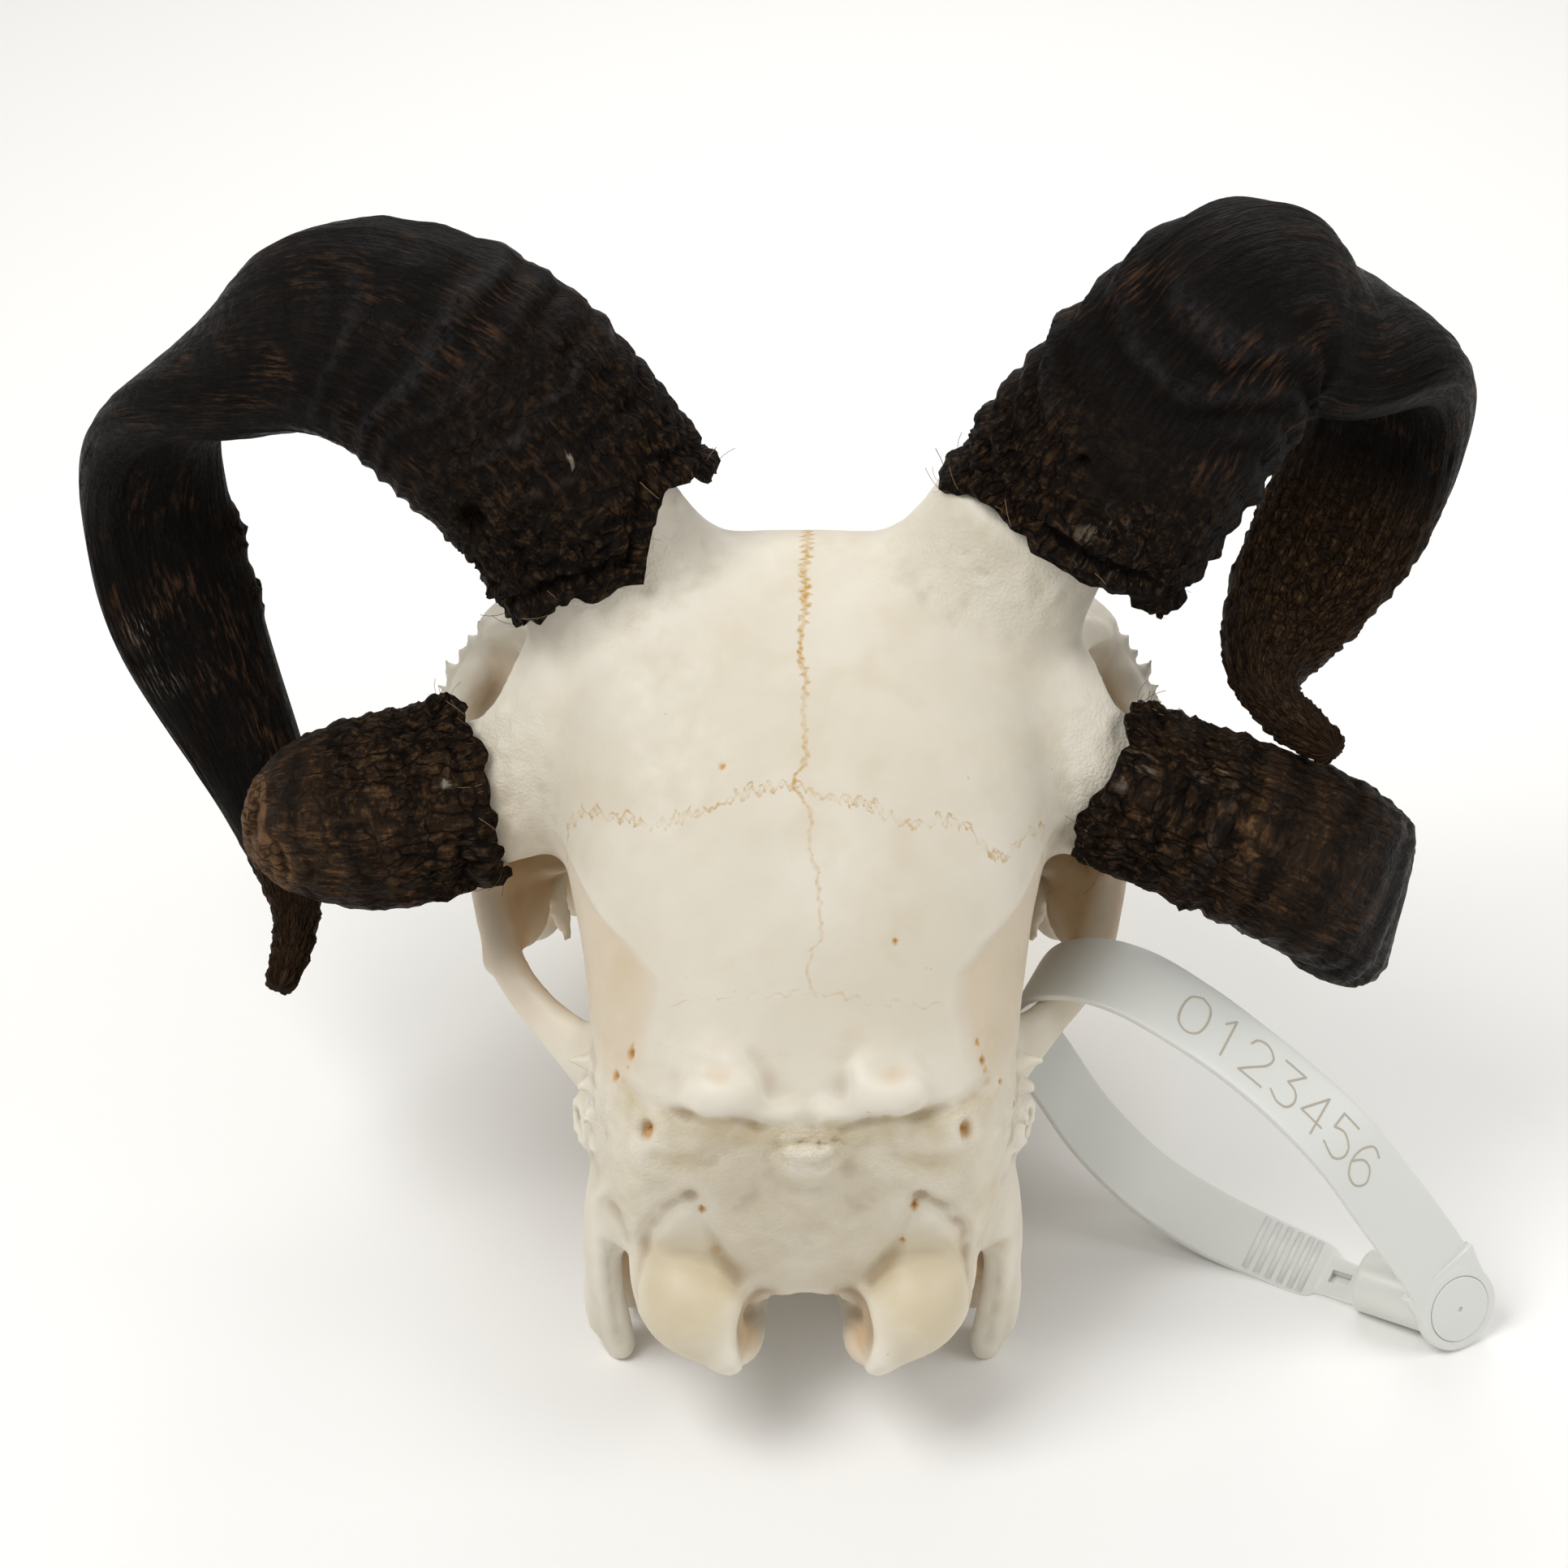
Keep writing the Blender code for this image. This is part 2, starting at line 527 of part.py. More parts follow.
def bone_hollows():
    """Cutters for the orbits, the foramen magnum, the nasal cavity, the throat, the palate and the ear holes."""
    cutters = [
        sweep("foramen", [
            (0, -20, 11, 8, 12, (1, 0, 0)),
            (0, -10, 19.5, 11.5, 15, (1, 0, 0)),
            (0, 2, 31, 17, 17, (1, 0, 0)),
            (0, 12, 42, 16, 14, (1, 0, 0)),
        ], caps=(1, 1)),
        sweep("nose", [
            (0, 176, 38, 19, 20, (1, 0, 0)),
            (0, 158, 39, 18, 25, (1, 0, 0)),
            (0, 140, 43, 17, 28, (1, 0, 0)),
            (0, 122, 48, 16, 28, (1, 0, 0)),
            (0, 108, 51, 13, 18, (1, 0, 0)),
        ], caps=(1, 1)),
        sweep("throat", [
            (0, 48, 20, 17, 28, (1, 0, 0)),
            (0, 68, 24, 17, 20, (1, 0, 0)),
            (0, 84, 30, 14, 14, (1, 0, 0)),
        ], caps=(1, 1)),
        egg("palate", (0, 108, 9), (15.5, 44, 9.5), (3, 0, 0)),
    ]

    def half(side, mirror):
        return [
            egg("orbit_" + side, mirror((56, 64.5, 79.5)), (28, 16, 16.6)),
            egg("orbit_depth_" + side, mirror((38, 58, 75)), (17, 11.5, 12)),
            rod("temporal_" + side, [mirror((38, 56, 73)), mirror((42.6, 42, 68)), mirror((42.6, 30, 67))],
                [9, 7.4, 6.4]),
            rod("ear_hole_" + side, [mirror((29, 10, 43)), mirror((42, 4, 45))], [2.4, 2.6], sides=10),
            egg("condyle_hollow_" + side, mirror((6.4, -19.5, 25)), (4.2, 8, 6)),
            egg("nuchal_hollow_" + side, mirror((9, -20, 47)), (8, 5, 9)),
        ]
    return cutters + both_sides(half)


def halfspace(name, point, normal):
    """A big box that fills everything on the normal's side of a plane."""
    bm = bmesh.new()
    bmesh.ops.create_cube(bm, size=2)
    turn = Vector(normal).normalized().to_track_quat("Z", "Y").to_matrix().to_4x4()
    matrix = Matrix.Translation(Vector(point) * MM) @ turn @ Matrix.Translation((0, 0, 0.3)) @ Matrix.Scale(0.3, 4)
    bmesh.ops.transform(bm, matrix=matrix, verts=bm.verts)
    return put(name, bm)


def keep_largest(obj):
    """Leaves only the closed surface with the most volume, since a cut can free small splinters."""
    bm = bmesh.new()
    bm.from_mesh(obj.data)
    bmesh.ops.triangulate(bm, faces=bm.faces)
    seen = set()
    best = (0, [])
    for start in bm.faces:
        if start in seen:
            continue
        seen.add(start)
        island = [start]
        for face in island:
            for edge in face.edges:
                for other in edge.link_faces:
                    if other not in seen:
                        seen.add(other)
                        island.append(other)
        volume = sum(f.verts[0].co.dot(f.verts[1].co.cross(f.verts[2].co)) for f in island)
        best = max(best, (volume, island), key=lambda pair: pair[0])
    spare = seen.difference(best[1])
    bmesh.ops.delete(bm, geom=list(spare), context="FACES")
    bm.to_mesh(obj.data)
    bm.free()


def thin_out(obj, triangles):
    modifier = obj.modifiers.new("Decimate", "DECIMATE")
    modifier.ratio = triangles / sum(len(f.vertices) - 2 for f in obj.data.polygons)
    modifier.use_collapse_triangulate = True
    apply_modifiers(obj)


def twin(obj, name):
    other = bpy.data.objects.new(name, obj.data.copy())
    bpy.context.scene.collection.objects.link(other)
    return other


def part_at(obj, name, point, normal):
    """Cuts obj along a plane. What lies on the normal's side becomes a new object."""
    step = Vector(normal).normalized() * GAP / 2
    front = twin(obj, name)
    boolean(front, [halfspace("cut", Vector(point) + step, -step)], "DIFFERENCE")
    boolean(obj, [halfspace("cut", Vector(point) - step, step)], "DIFFERENCE")
    keep_largest(obj)
    keep_largest(front)
    return front


def bone():
    mass = braincase()
    # These joins are between so many forms that the exact solver is slow.
    boolean(mass, [face()] + brow_plate() + horn_cores() + cheeks() + incisives(), "UNION", "MANIFOLD")
    melt(mass, FIRST_VOXEL, FIRST_SMOOTHING)
    boolean(mass, occiput() + base_and_palate(), "UNION", "MANIFOLD")
    boolean(mass, bone_hollows(), "DIFFERENCE", "MANIFOLD")
    boolean(mass, orbit_rims(), "UNION", "MANIFOLD")
    melt(mass, BONE_VOXEL, BONE_SMOOTHING)
    return mass


def swollen(stations, more):
    """The same stations with more width and thickness, and started a gap early, as a cutter for a neighbour."""
    rows = [(x, y, z, wide + more, thick + more, across) for x, y, z, wide, thick, across in stations]
    first = Vector(rows[0][:3])
    back = (first - Vector(rows[1][:3])).normalized() * GAP
    rows[0] = (*(first + back), *rows[0][3:])
    return rows


def skull_nodes():
    """The cranium, the face with its teeth, the nasal bones and the incisive bones."""
    cranium = bone()
    cranium.name = "cranium"
    boolean(cranium, [sweep("socket", swollen(horn[:4], SOCKET_ROOM)) for horn in HORNS.values()], "DIFFERENCE",
            "MANIFOLD")
    keep_largest(cranium)
    thin_out(cranium, BONE_TRIANGLES)
    boolean(cranium, [halfspace("floor", (0, 0, 0), (0, 0, -1))], "DIFFERENCE")
    face_bone = part_at(cranium, "face", (0, 90, 100), (0, 0.937, -0.35))
    front = part_at(face_bone, "incisive_bones", (0, 150, 18), (0, 0.97, 0.26))
    nasals = both_sides(lambda side, mirror: sweep("nasal_" + side, nasal_stations(mirror), sides=10, steps=1,
                                                   square=2.6, caps=(0.8, 0.8)))
    for piece in (face_bone, front, cranium):
        cutters = both_sides(lambda side, mirror: sweep("slot_" + side, swollen(nasal_stations(mirror), 2 * GAP),
                                                        sides=10, steps=1, square=2.6, caps=(0.9, 0.9)))
        boolean(piece, cutters, "DIFFERENCE")
        keep_largest(piece)
    boolean(face_bone, cheek_teeth(), "UNION")
    boolean(face_bone, [halfspace("floor", (0, 0, 0), (0, 0, -1))], "DIFFERENCE")
    keep_largest(face_bone)
    return [cranium, face_bone, front] + nasals


def disc(name, centre, axis, radius, depth, sides=24):
    """A short cylinder centred on a point, with its flat ends across the axis."""
    bm = bmesh.new()
    bmesh.ops.create_cone(bm, cap_ends=True, segments=sides, radius1=radius, radius2=radius, depth=depth)
    turn = Vector(axis).normalized().to_track_quat("Z", "Y").to_matrix().to_4x4()
    bmesh.ops.transform(bm, matrix=Matrix.Translation(Vector(centre)) @ turn, verts=bm.verts)
    bmesh.ops.scale(bm, vec=(MM, MM, MM), verts=bm.verts)
    return put(name, bm)


def tag():
    """A museum's plastic band, which hangs through the right zygomatic arch and stands on the floor like a bracelet.
    Its two ends are snapped together by a stud with a round head."""
    across = Vector(TAG_AXIS).normalized()
    head = Vector(TAG_LOOP[0][:3])
    along = (head - Vector(TAG_LOOP[1][:3])).normalized()
    outward = along.cross(across).normalized()
    band = sweep("tag_band", [(*p, w, TAG_THICKNESS, across) for *p, w in TAG_LOOP], sides=4, steps=2, square=40)
    pad = disc("pad", head, outward, TAG_HEAD_RADIUS, 2.2)
    socket = disc("socket", head - outward * 4.2, outward, 4.2, 8)
    boolean(band, [pad, socket], "UNION")
    boolean(band, [halfspace("floor", (0, 0, 0), (0, 0, -1))], "DIFFERENCE")
    keep_largest(band)
    stud = disc("tag_stud", head + outward * (1.1 + GAP + 0.5), outward, TAG_HEAD_RADIUS - 1.4, 1.0)
    return [band, stud]


HORNS = {
    "horn_upper_left": UPPER_LEFT_HORN,
    "horn_upper_right": UPPER_RIGHT_HORN,
    "horn_lower_left": LOWER_LEFT_HORN,
    "horn_lower_right": LOWER_RIGHT_HORN,
}
HORN_SQUARENESS = {
    "horn_upper_left": 2.5,
    "horn_upper_right": 2.5,
    "horn_lower_left": 2.5,
    "horn_lower_right": 3.2,
}


COLOURS = {
    "bone": (0.80, 0.74, 0.60),
    "horn": (0.018, 0.013, 0.010),
    "tag": (0.72, 0.73, 0.71),
}


def paint(obj, kind, roughness):
    material = bpy.data.materials.get(kind) or bpy.data.materials.new(kind)
    material.use_nodes = True
    shader = material.node_tree.nodes["Principled BSDF"]
    shader.inputs["Base Color"].default_value = (*COLOURS[kind], 1)
    shader.inputs["Roughness"].default_value = roughness
    shader.inputs["Metallic"].default_value = 0
    obj.data.materials.clear()
    obj.data.materials.append(material)
    obj.data.shade_smooth()
    obj.data.set_sharp_from_angle(angle=SHARP_ANGLE)


def slide_to_origin(nodes):
    """Puts the origin under the middle of the box round all nodes."""
    points = [v.co for node in nodes for v in node.data.vertices]
    low = Vector([min(p[i] for p in points) for i in range(3)])
    high = Vector([max(p[i] for p in points) for i in range(3)])
    slide = Vector((-(low.x + high.x) / 2, -(low.y + high.y) / 2, -low.z))
    for node in nodes:
        node.data.transform(Matrix.Translation(slide))
    print("slid by", [round(value / MM, 3) for value in slide], "mm; size",
          [round(value / MM, 2) for value in high - low])


def main():
    clear_scene()
    bones = skull_nodes()
    horns = [
        sweep(name, stations, sides=14, steps=2, square=HORN_SQUARENESS[name], caps=(0, 0.7))
        for name, stations in HORNS.items()
    ]
    band = tag()
    for pieces, kind, roughness in ((bones, "bone", 0.6), (horns, "horn", 0.5), (band, "tag", 0.4)):
        for piece in pieces:
            paint(piece, kind, roughness)
    slide_to_origin(bones + horns + band)


main()
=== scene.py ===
"""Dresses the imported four-horned sheep skull: bone, horn sheaths, museum tag, floor, light and camera."""
import bpy
import bmesh
import itertools
import math
import numpy as np
from mathutils import Euler, Matrix, Vector


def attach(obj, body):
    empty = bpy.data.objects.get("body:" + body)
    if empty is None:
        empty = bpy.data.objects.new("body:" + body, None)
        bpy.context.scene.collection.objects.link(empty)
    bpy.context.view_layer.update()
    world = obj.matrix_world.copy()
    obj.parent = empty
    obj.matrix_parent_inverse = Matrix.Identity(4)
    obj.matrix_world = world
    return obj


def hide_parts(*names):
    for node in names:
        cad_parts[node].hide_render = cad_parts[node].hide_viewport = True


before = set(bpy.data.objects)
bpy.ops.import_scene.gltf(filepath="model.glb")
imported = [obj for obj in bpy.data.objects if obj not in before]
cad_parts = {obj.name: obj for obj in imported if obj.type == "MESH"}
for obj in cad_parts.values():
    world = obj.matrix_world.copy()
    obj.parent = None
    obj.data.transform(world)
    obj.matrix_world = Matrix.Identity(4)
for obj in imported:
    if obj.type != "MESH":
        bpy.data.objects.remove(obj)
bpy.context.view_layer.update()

# Skull bones
# The cranium, the face, the incisive bones and the nasal bones: dry cleaned bone, grown together along sutures.
# They are laid out in a frame of their own in mm, with the midline at x = 0 and the floor at z = 0, from the same
# forms as the CAD nodes, then melted on a finer grid and given the small relief that the nodes leave out.

MM = 0.001
SLIDE = Vector((2.668, -86.419, 0.0))  # from the skull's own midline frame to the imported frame, in mm
SIDES = (-1, 1)
NARROWER_CHEEK = 1.8
BREGMA = (14.0, 102.6)
BROW = (56.0, 121.8)
NASION = (88.0, 98.0)
MASS_VOXEL = 1.5
RIM_VOXEL = 1.1
SKIN_VOXEL = 0.8
NASAL_VOXEL = 0.7
MOST_TRIANGLES = 190000
RIM_RADIUS = 2.9
HOLLOW_ROUNDS = 12  # rounds of averaging that find what lies sunk or proud of its surroundings
SLAB_HALF = 90  # the slabs that part the bones along sutures, wider and deeper than any bone
SLAB_CELLS = 110
SLAB_DEPTH = 150
CAP_ANGLES = (15, 30, 45, 60, 72, 84)  # degrees from a tube's side to its tip, where a rounded end has its rings
ROD_TURN = (0.31, 0.27, 0.91)  # any direction that no rod runs along
SPLINTER = {"sides": 8, "steps": 1}


def smooth_path(stations, steps):
    """Catmull-Rom values through rows of numbers, with this many steps between one row and the next."""
    rows = [list(row) for row in stations]
    ends = [rows[0]] + rows + [rows[-1]]
    out = []
    for i in range(1, len(ends) - 2):
        a, b, c, d = ends[i - 1 : i + 3]
        for k in range(steps):
            t = k / steps
            out.append([
                0.5 * (2 * q + (r - p) * t + (2 * p - 5 * q + 4 * r - s) * t * t
                       + (3 * q - p - 3 * r + s) * t ** 3)
                for p, q, r, s in zip(a, b, c, d)
            ])
    out.append(rows[-1])
    return out


def closed_mesh(rings):
    """A bmesh skinned over rings of equal count, with a point fan over each end."""
    bm = bmesh.new()
    rows = [[bm.verts.new(point * MM) for point in ring] for ring in rings]
    count = len(rows[0])
    for lower, upper in zip(rows, rows[1:]):
        for j in range(count):
            k = (j + 1) % count
            bm.faces.new((lower[j], lower[k], upper[k], upper[j]))
    for row, turn in ((rows[0], True), (rows[-1], False)):
        middle = bm.verts.new(sum((v.co for v in row), Vector()) / count)
        for j in range(count):
            pair = (row[j], row[(j + 1) % count])
            bm.faces.new((middle, pair[1], pair[0]) if turn else (middle, *pair))
    bmesh.ops.recalc_face_normals(bm, faces=bm.faces)
    return bm

def link_object(name, mesh):
    obj = bpy.data.objects.new(name, mesh)
    bpy.context.scene.collection.objects.link(obj)
    return obj


def put(name, bm):
    mesh = bpy.data.meshes.new(name)
    bm.to_mesh(mesh)
    bm.free()
    return link_object(name, mesh)


def power(value, exponent):
    return math.copysign(abs(value) ** exponent, value)


def sweep(name, stations, sides=32, steps=8, square=2.0, caps=(0, 0)):
    """A tube through rows of x, y, z, width, thickness and the width's direction, its sections squarer as square
    grows. caps says how far each end bulges, as a share of the tube's half thickness there."""
    rows = smooth_path(stations, steps)
    centres = [Vector(row[:3]) for row in rows]
    rings = []
    for i, row in enumerate(rows):
        along = (centres[min(i + 1, len(rows) - 1)] - centres[max(i - 1, 0)]).normalized()
        wide = Vector(row[5:8])
        wide = (wide - along * wide.dot(along)).normalized()
        thick = along.cross(wide)
        ring = []
        for j in range(sides):
            angle = 2 * math.pi * j / sides
            ring.append(
                centres[i]
                + wide * row[3] / 2 * power(math.cos(angle), 2 / square)
                + thick * row[4] / 2 * power(math.sin(angle), 2 / square)
            )
        rings.append(ring)
    for first, step, bulge in ((0, -1, caps[0]), (-1, 1, caps[1])):
        if not bulge:
            continue
        ring = rings[first]
        middle = sum(ring, Vector()) / sides
        out = (centres[first] - centres[first - step]).normalized()
        reach = min(rows[first][3], rows[first][4]) / 2 * bulge
        for turn in CAP_ANGLES:
            lift = out * reach * math.sin(math.radians(turn))
            shrink = math.cos(math.radians(turn))
            new = [middle + (point - middle) * shrink + lift for point in ring]
            if step == 1:
                rings.append(new)
            else:
                rings.insert(0, new)
    return put(name, closed_mesh(rings))


def rod(name, rows, **options):
    """A round tube through rows of x, y, z and radius, where a bone is a plain bar."""
    stations = [(*place, 2 * radius, 2 * radius, *ROD_TURN) for *place, radius in rows]
    return sweep(name, stations, caps=(1, 1), **options)


def egg(name, rows, turn=(0, 0, 0)):
    """An ellipsoid from one row of x, y, z and three radii, turned by degrees about X, Y and Z."""
    x, y, z, *radii = rows[0]
    bm = bmesh.new()
    bmesh.ops.create_uvsphere(bm, u_segments=40, v_segments=24, radius=1)
    matrix = (
        Matrix.Translation(Vector((x, y, z)) * MM)
        @ Euler([math.radians(a) for a in turn]).to_matrix().to_4x4()
        @ Matrix.Diagonal((*[r * MM for r in radii], 1))
    )
    bmesh.ops.transform(bm, matrix=matrix, verts=bm.verts)
    return put(name, bm)


def midline_loft(name, rings, count=72, steps=10):
    """A body skinned over cross-sections: y and z of the dorsal and of the ventral midline point, half-widths
    above and below, and a squareness for the roof and the floor."""
    skin = []
    for top_y, top_z, low_y, low_z, wide_top, wide_low, roof, floor in smooth_path(rings, steps):
        middle = Vector((0, (top_y + low_y) / 2, (top_z + low_z) / 2))
        half = Vector((0, (top_y - low_y) / 2, (top_z - low_z) / 2))
        ring = []
        for j in range(count):
            angle = 2 * math.pi * j / count
            rise = math.sin(angle)
            square = roof if rise > 0 else floor
            share = power(rise, 2 / square)
            width = wide_top + (wide_low - wide_top) * (1 - share) / 2
            ring.append(middle + half * share + Vector((width * power(math.cos(angle), 2 / square), 0, 0)))
        skin.append(ring)
    return put(name, closed_mesh(skin))


def paired(*forms, narrower=0):
    """Left and right pieces from forms of the right side: what makes each, its name, its rows and its options.
    This sheep's right cheek stands out less than its left one, by what narrower gives."""
    pieces = []
    for side in SIDES:
        for make, name, rows, *options in forms:
            placed = [(side * (x - (narrower if side > 0 and x > 10 else 0)), *rest) for x, *rest in rows]
            if make is sweep:
                placed = [(*row[:5], side * row[5], *row[6:]) for row in placed]
            pieces.append(make(f"{name}_{'left' if side < 0 else 'right'}", placed, **dict(*options)))
    return pieces


def apply_modifiers(obj):
    graph = bpy.context.evaluated_depsgraph_get()
    mesh = bpy.data.meshes.new_from_object(obj.evaluated_get(graph))
    obj.modifiers.clear()
    obj.data = mesh


def boolean(obj, others, operation, solver="EXACT"):
    """Joins or cuts with a collection of closed pieces, which are removed afterwards."""
    group = bpy.data.collections.new(obj.name + "_pieces")
    for other in others:
        for holder in list(other.users_collection):
            holder.objects.unlink(other)
        group.objects.link(other)
    modifier = obj.modifiers.new(operation.title(), "BOOLEAN")
    modifier.operation = operation
    modifier.operand_type = "COLLECTION"
    modifier.collection = group
    modifier.solver = solver
    apply_modifiers(obj)
    for other in others:
        bpy.data.objects.remove(other, do_unlink=True)
    bpy.data.collections.remove(group)


def melt(obj, voxel, smoothing):
    """Melts joined forms into one skin and softens the creases between them."""
    remesh = obj.modifiers.new("Remesh", "REMESH")
    remesh.mode = "VOXEL"
    remesh.voxel_size = voxel * MM
    smooth = obj.modifiers.new("Smooth", "SMOOTH")
    smooth.factor = 0.5
    smooth.iterations = smoothing
    apply_modifiers(obj)


def braincase():
    return midline_loft("braincase", [
        (-16.5, 60, -14.5, 29, 20, 19, 2.6, 2.6), (-14.5, 67, -11.5, 23, 28, 26, 2.8, 2.6),
        (-6, 79, 0, 17, 33.5, 28.5, 2.8, 2.4), (3, 91, 14, 18, 37, 27, 2.8, 2.3),
        (*BREGMA, 30, 26, 42, 25, 2.7, 2.2), (27, 112, 44, 33, 50, 20, 2.4, 2.2),
        (40, 119.5, 56, 37, 57, 16, 2.2, 2.3), (*BROW, 66, 38, 60, 15, 2.2, 2.4),
        (70, 111.0, 74, 44, 44, 16, 2.2, 2.4),
    ])


def face():
    return midline_loft("face", [
        (62, 111, 72, 34, 22, 16, 2.6, 2.6), (75, 103.5, 76, 17, 21, 25, 2.7, 3.0),
        (*NASION, 84, 14, 19, 29, 2.7, 3.2), (110, 85, 106, 14, 16.5, 29, 2.7, 3.2),
        (132, 70.5, 128, 16, 14.5, 23.5, 2.7, 2.8), (150, 58, 147, 18.5, 12.5, 16, 2.7, 2.4),
    ])


def brow_plate():
    """The frontals, which spread from the braincase to the brow ridges over the orbits."""
    return paired(
        (sweep, "brow", [
            (4, 42, 101, 48, 22, 0, 0.90, 0.42), (20, 44, 102, 50, 22, 0.05, 0.90, 0.42),
            (32, 48, 98.5, 42, 18, 0.1, 0.90, 0.42), (40.5, 52, 94.5, 32, 9, 0.1, 0.90, 0.36)
        ], {"caps": (0.7, 0.7)}),
    )


def horn_cores():
    return paired(
        (sweep, "upper_core", [
            (14, 50, 95, 44, 36, -0.80, 0.33, 0.46), (23.5, 51.5, 107, 38, 30, -0.82, 0.33, 0.46),
            (30.8, 52.6, 119.5, 31, 22.5, -0.82, 0.33, 0.46), (35.2, 52.8, 129, 30, 21, -0.82, 0.33, 0.46)
        ]),
    ) + paired(
        (sweep, "lower_core", [
            (16, 44, 98, 46, 34, 0.36, 0.55, 0.74), (33, 41, 94, 36, 25, 0.36, 0.55, 0.74),
            (46, 37.3, 88, 26, 17.5, 0.36, 0.55, 0.74), (53, 35, 86, 24, 16, 0.36, 0.55, 0.74)
        ]),
    )


def orbit_rims():
    """The ring of bone round each eye, whose front edge flares furthest out."""
    start = [(42.5, 52, 97), (42.5, 60, 98)]
    ring = start + [
        (44.5, 69, 95), (49, 71, 91.5), (54.0, 68, 86), (56, 72, 79), (56, 74.5, 70), (54.5, 68, 62.5),
        (52.5, 58, 60), (50, 48.5, 67), (48, 45.2, 78), (45.5, 46.5, 89),
    ] + start
    return paired((rod, "rim", [(*place, RIM_RADIUS) for place in ring]), narrower=NARROWER_CHEEK)


def cheeks():
    """Lacrimal and zygomatic bones in front of and under the orbit, and the arch behind it."""
    up = (0.05, 0.12, 1)
    return paired(
        (sweep, "cheek", [
            (41, 50, 80, 38, 15, *up), (42, 62, 78, 44, 28, *up), (41, 75, 75, 44, 30, *up),
            (33, 88, 69, 44, 28, *up), (26, 101, 60, 42, 22, *up), (21, 115, 48, 34, 17, *up),
            (17, 130, 41, 26, 12, *up), (12, 143, 38, 18, 8, *up)
        ], {"square": 2.5, "caps": (0.7, 0.7)}),
        (sweep, "facial_crest", [
            (53, 68, 60, 12, 9, *up), (47, 84, 54, 14, 12, *up), (37, 99, 45, 13, 13, *up),
            (29, 113, 35, 12, 11, *up), (25, 121, 30, 9, 8, *up)
        ], {"caps": (1, 1)}),
        (egg, "lacrimal_bulla", [(37, 64, 50, 8.5, 10, 6.5)]),
        (egg, "malar", [(45.5, 67, 45, 6.5, 9, 11)]),
        (sweep, "arch", [
            (52.5, 62, 60, 9, 7, -0.3, 0, 1), (50.8, 47, 58.4, 10, 6.4, -0.3, 0, 1),
            (47.2, 33, 54.6, 9, 5.6, -0.4, 0, 1), (40.4, 23.6, 51.2, 9, 5.6, -0.4, 0, 1),
            (31.8, 15.6, 47.8, 12.5, 8.6, -0.4, 0, 1), (26, 11, 46, 18, 12, -0.4, 0, 1)
        ], {"caps": (0.6, 0.6)}),
        (sweep, "postorbital", [
            (42, 43, 92, 13, 10, 1, 0, 0), (46.5, 45, 79, 10, 7, 1, 0, 0), (48, 47, 67, 9.5, 7, 1, 0, 0),
            (50, 51, 59, 10, 8, 1, 0, 0)
        ], {"caps": (0.6, 0.6)}),
        narrower=NARROWER_CHEEK,
    )


def occiput():
    """Condyles, jugular processes, ear region and the knobs on the nuchal crest."""
    return [egg("protuberance", [(0, -15.5, 58, 5, 3, 6)])] + paired(
        (rod, "condyle", [
            (22, 0, 38, 4.5), (20.5, -8, 33, 6.8), (18.0, -13.5, 28, 8.4), (14.4, -18, 25, 7.2),
            (11.5, -21.6, 22.6, 3.8)
        ]),
        (rod, "condyle_base", [(18, -8, 25, 6.5), (12.5, -6, 19, 6), (9, 4, 16, 5)]),
        (rod, "condyle_wall", [
            (11.5, -19, 20.5, 3.0), (10.2, -13, 17, 3.8), (9.8, -5, 14.5, 3.9), (9.5, 4, 13.5, 4.0)
        ]),
        (sweep, "jugular", [
            (26, 4, 46, 24, 11, 0, 1, 0), (29.8, 1, 35, 16, 8.5, 0, 1, 0), (31.8, 1, 23, 12, 6.0, 0.2, 1, 0),
            (31.0, 2, 11, 9.5, 5.4, 0.3, 1, 0), (29.8, 2.6, 0.6, 8, 5.6, 0.3, 1, 0)
        ], {"caps": (1, 0.5)}),
        (rod, "jugular_lobe", [(31.6, 1, 26, 2.6), (33.0, 1.6, 14, 2.3), (33.2, 3, 5, 1.9)]),
        (egg, "web", [(25, -1, 35, 8, 8, 8)]),
        (rod, "hyoid_socket", [(25, 11, 36, 5), (27.6, 11, 22, 4), (28.2, 11, 11, 3.6), (28, 10.5, 4, 2.6)]),
        (egg, "mastoid", [(27.2, 4, 49.5, 6.1, 13, 13)]),
        (rod, "ear", [(24, 12, 42, 7), (33, 8, 44, 4.6)]),
        (egg, "bulla", [(17, 16, 26, 6.5, 10, 10)]),
        (egg, "tympanic", [(25.5, 12, 20, 4, 6, 8.5)]),
        (rod, "muscular", [(20, 20, 24, 3.5), (22, 26, 15, 2)]),
        (egg, "knob", [(12.5, -12.5, 67, 6.5, 4.5, 4.5)]),
        (sweep, "crest", [
            (2, -14, 64, 7, 6, 0, -0.7, 1), (15, -11.5, 63.5, 7, 6, 0, -0.7, 1),
            (27, -5, 57, 7, 6, 0, -0.7, 1), (31, 3, 50, 7, 6, 0, -0.7, 1)
        ], {"caps": (1, 1)}),
        narrower=NARROWER_CHEEK / 4,
    )


def base_and_palate():
    return paired(
        (sweep, "pterygoid", [
            (10, 42, 40, 22, 5, 0, 1, -0.2), (11, 51, 31, 17, 4.4, 0, 1, -0.4),
            (12, 55, 22, 10, 4.0, 0, 1, -0.5), (12.5, 56, 16, 6, 3.6, 0, 1, -0.5)
        ], {"caps": (1, 1)}),
        (rod, "sphenoid", [(16, 34, 36, 6), (24, 42, 46, 5), (28, 48, 56, 4)]),
        (egg, "tuber", [(24, 76, 28, 9, 9, 15)]),
    )


